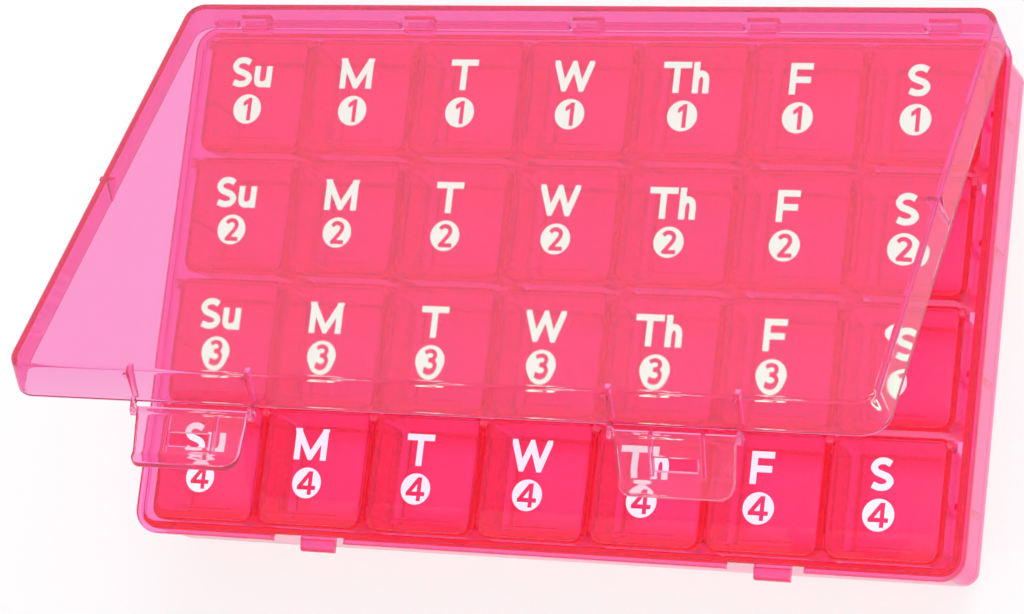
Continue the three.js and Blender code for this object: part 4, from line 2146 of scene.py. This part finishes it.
@dataclass
class Studio:
    """A white paper floor, soft lamps and the camera at the photograph's angle.

    Attributes:
        floor_size: The paper's side, in metres.
        floor_drop: How far the paper lies below the case, in metres, so that no faces coincide.
        fill: The share of the room's white that lights matt surfaces.
        softboxes: The lamps.
        eye: The camera's place, in metres.
        right, down, ahead: The directions of the picture's right and foot and of the view.
        sensor: The width of the camera's sensor, in millimetres.
        lens: The focal length, in millimetres.
        shift_x, shift_y: The lens's shift, as a share of the picture's width.
        nearest, farthest: The limits of what the camera sees, in metres.
        crossings: How many clear walls and mirror images light may pass.
        bounces: How many matt faces light may pass.
    """

    floor_size: float = 6.0
    floor_drop: float = 0.0002
    fill: float = 0.7
    softboxes: tuple[Softbox, ...] = (
        Softbox("softbox_front", (0.1, -0.7, 1.0), 0.9, 0.5, 2.3),
        Softbox("striplight_behind", (0.2, 0.8, 0.7), 0.9, 0.1, 6.3),
    )
    eye: Point = (0.2862311, -0.1541117, 0.7312298)
    right: Point = (0.9216463, 0.1153587, -0.3704868)
    down: Point = (0.0308820, -0.9735644, -0.2263153)
    ahead: Point = (-0.3868002, 0.1971413, -0.9008446)
    sensor: float = 36.0
    lens: float = 137.85
    shift_x: float = 0.0420
    shift_y: float = -0.0283
    nearest: float = 0.01
    farthest: float = 50.0
    crossings: int = 64
    bounces: int = 16

    def make(self) -> None:
        """Builds the floor, the lamps, the world and the camera."""
        self.floor()
        self.world()
        for softbox in self.softboxes:
            softbox.hang()
        self.camera()
        self.light_paths()
        bpy.context.scene.view_settings.view_transform = "Standard"

    def floor(self) -> None:
        """Lays the paper."""
        half = self.floor_size / 2
        mesh = bpy.data.meshes.new("paper_floor")
        corners = [(-half, -half, 0), (half, -half, 0), (half, half, 0), (-half, half, 0)]
        mesh.from_pydata(corners, [], [(0, 1, 2, 3)])
        paper = bpy.data.objects.new("paper_floor", mesh)
        bpy.context.scene.collection.objects.link(paper)
        paper.location.z = -self.floor_drop
        mesh.materials.append(StudioPaper().make())

    def world(self) -> None:
        """Sets the white room, which lights matt surfaces a little less than it shows."""
        world = bpy.data.worlds.new("white_room")
        bpy.context.scene.world = world
        world.use_nodes = True
        tree = world.node_tree
        tree.nodes.clear()
        rays = add_node(tree, "ShaderNodeLightPath")
        strength = add_node(
            tree,
            "ShaderNodeMath",
            {"operation": "MULTIPLY_ADD"},
            {0: rays.outputs["Is Diffuse Ray"], 1: self.fill - 1.0, 2: 1.0},
        )
        room = add_node(
            tree,
            "ShaderNodeBackground",
            None,
            {"Color": WHITE, "Strength": strength.outputs[0]},
        )
        add_node(tree, "ShaderNodeOutputWorld", None, {"Surface": room.outputs["Background"]})

    def camera(self) -> None:
        """Sets up the camera."""
        camera = bpy.data.cameras.new("camera")
        camera.sensor_width = self.sensor
        camera.lens = self.lens
        camera.shift_x = self.shift_x
        camera.shift_y = self.shift_y
        camera.clip_start = self.nearest
        camera.clip_end = self.farthest
        holder = bpy.data.objects.new("camera", camera)
        bpy.context.scene.collection.objects.link(holder)
        columns = Matrix((self.right, [-v for v in self.down], [-v for v in self.ahead]))
        holder.matrix_world = Matrix.Translation(self.eye) @ columns.transposed().to_4x4()
        bpy.context.scene.camera = holder

    def light_paths(self) -> None:
        """Lets light cross the many clear walls."""
        cycles = bpy.context.scene.cycles
        cycles.max_bounces = self.crossings
        cycles.transmission_bounces = self.crossings
        cycles.glossy_bounces = self.crossings
        cycles.diffuse_bounces = self.bounces
        cycles.blur_glossy = 0.0


def main() -> None:
    """Builds the dressed organizer and its studio."""
    logging.basicConfig(level=logging.INFO, format="%(name)s: %(message)s")
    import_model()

    # The tubs and their lids are the deepest pink, and the outer lid is the palest
    cover_plastic = ClearPolystyrene("pink_polystyrene_outer_lid", "FBA8D8", 0.09, "FFB4DC").make()
    tray_plastic = ClearPolystyrene("pink_polystyrene_tray", "FF9EDB").make()
    strip_plastic = ClearPolystyrene("pink_polystyrene_strips", "FF99C2").make()
    day_plastic = ClearPolystyrene("pink_polystyrene_day_lids", "FF99C2").make()

    # The front week lies in front of the open lid, and is seen through a latch at most. Each ink
    # gives off a painted glow where it is seen through plastic, and the front row's ink also
    # carries a faint painted glow all over
    covered_ink = PadPrintInk("white_pad_print_ink", (0.92, 3.25, 1.42)).make()
    front_ink = PadPrintInk("white_pad_print_ink_front_row", (0.95, 1.6, 1.1), 0.22).make()
    inks = [covered_ink] * (SIZES.weeks - 1) + [front_ink]

    Tray(tray_plastic).make()
    WeekStrip(strip_plastic).make()
    DayLid(day_plastic, inks).make()
    OuterLid(cover_plastic).make()
    latch = Latch(cover_plastic)
    for name, side in (("latch_left", -1), ("latch_right", 1)):
        latch.make(name, side)

    Studio().make()


if __name__ == "__main__":
    main()
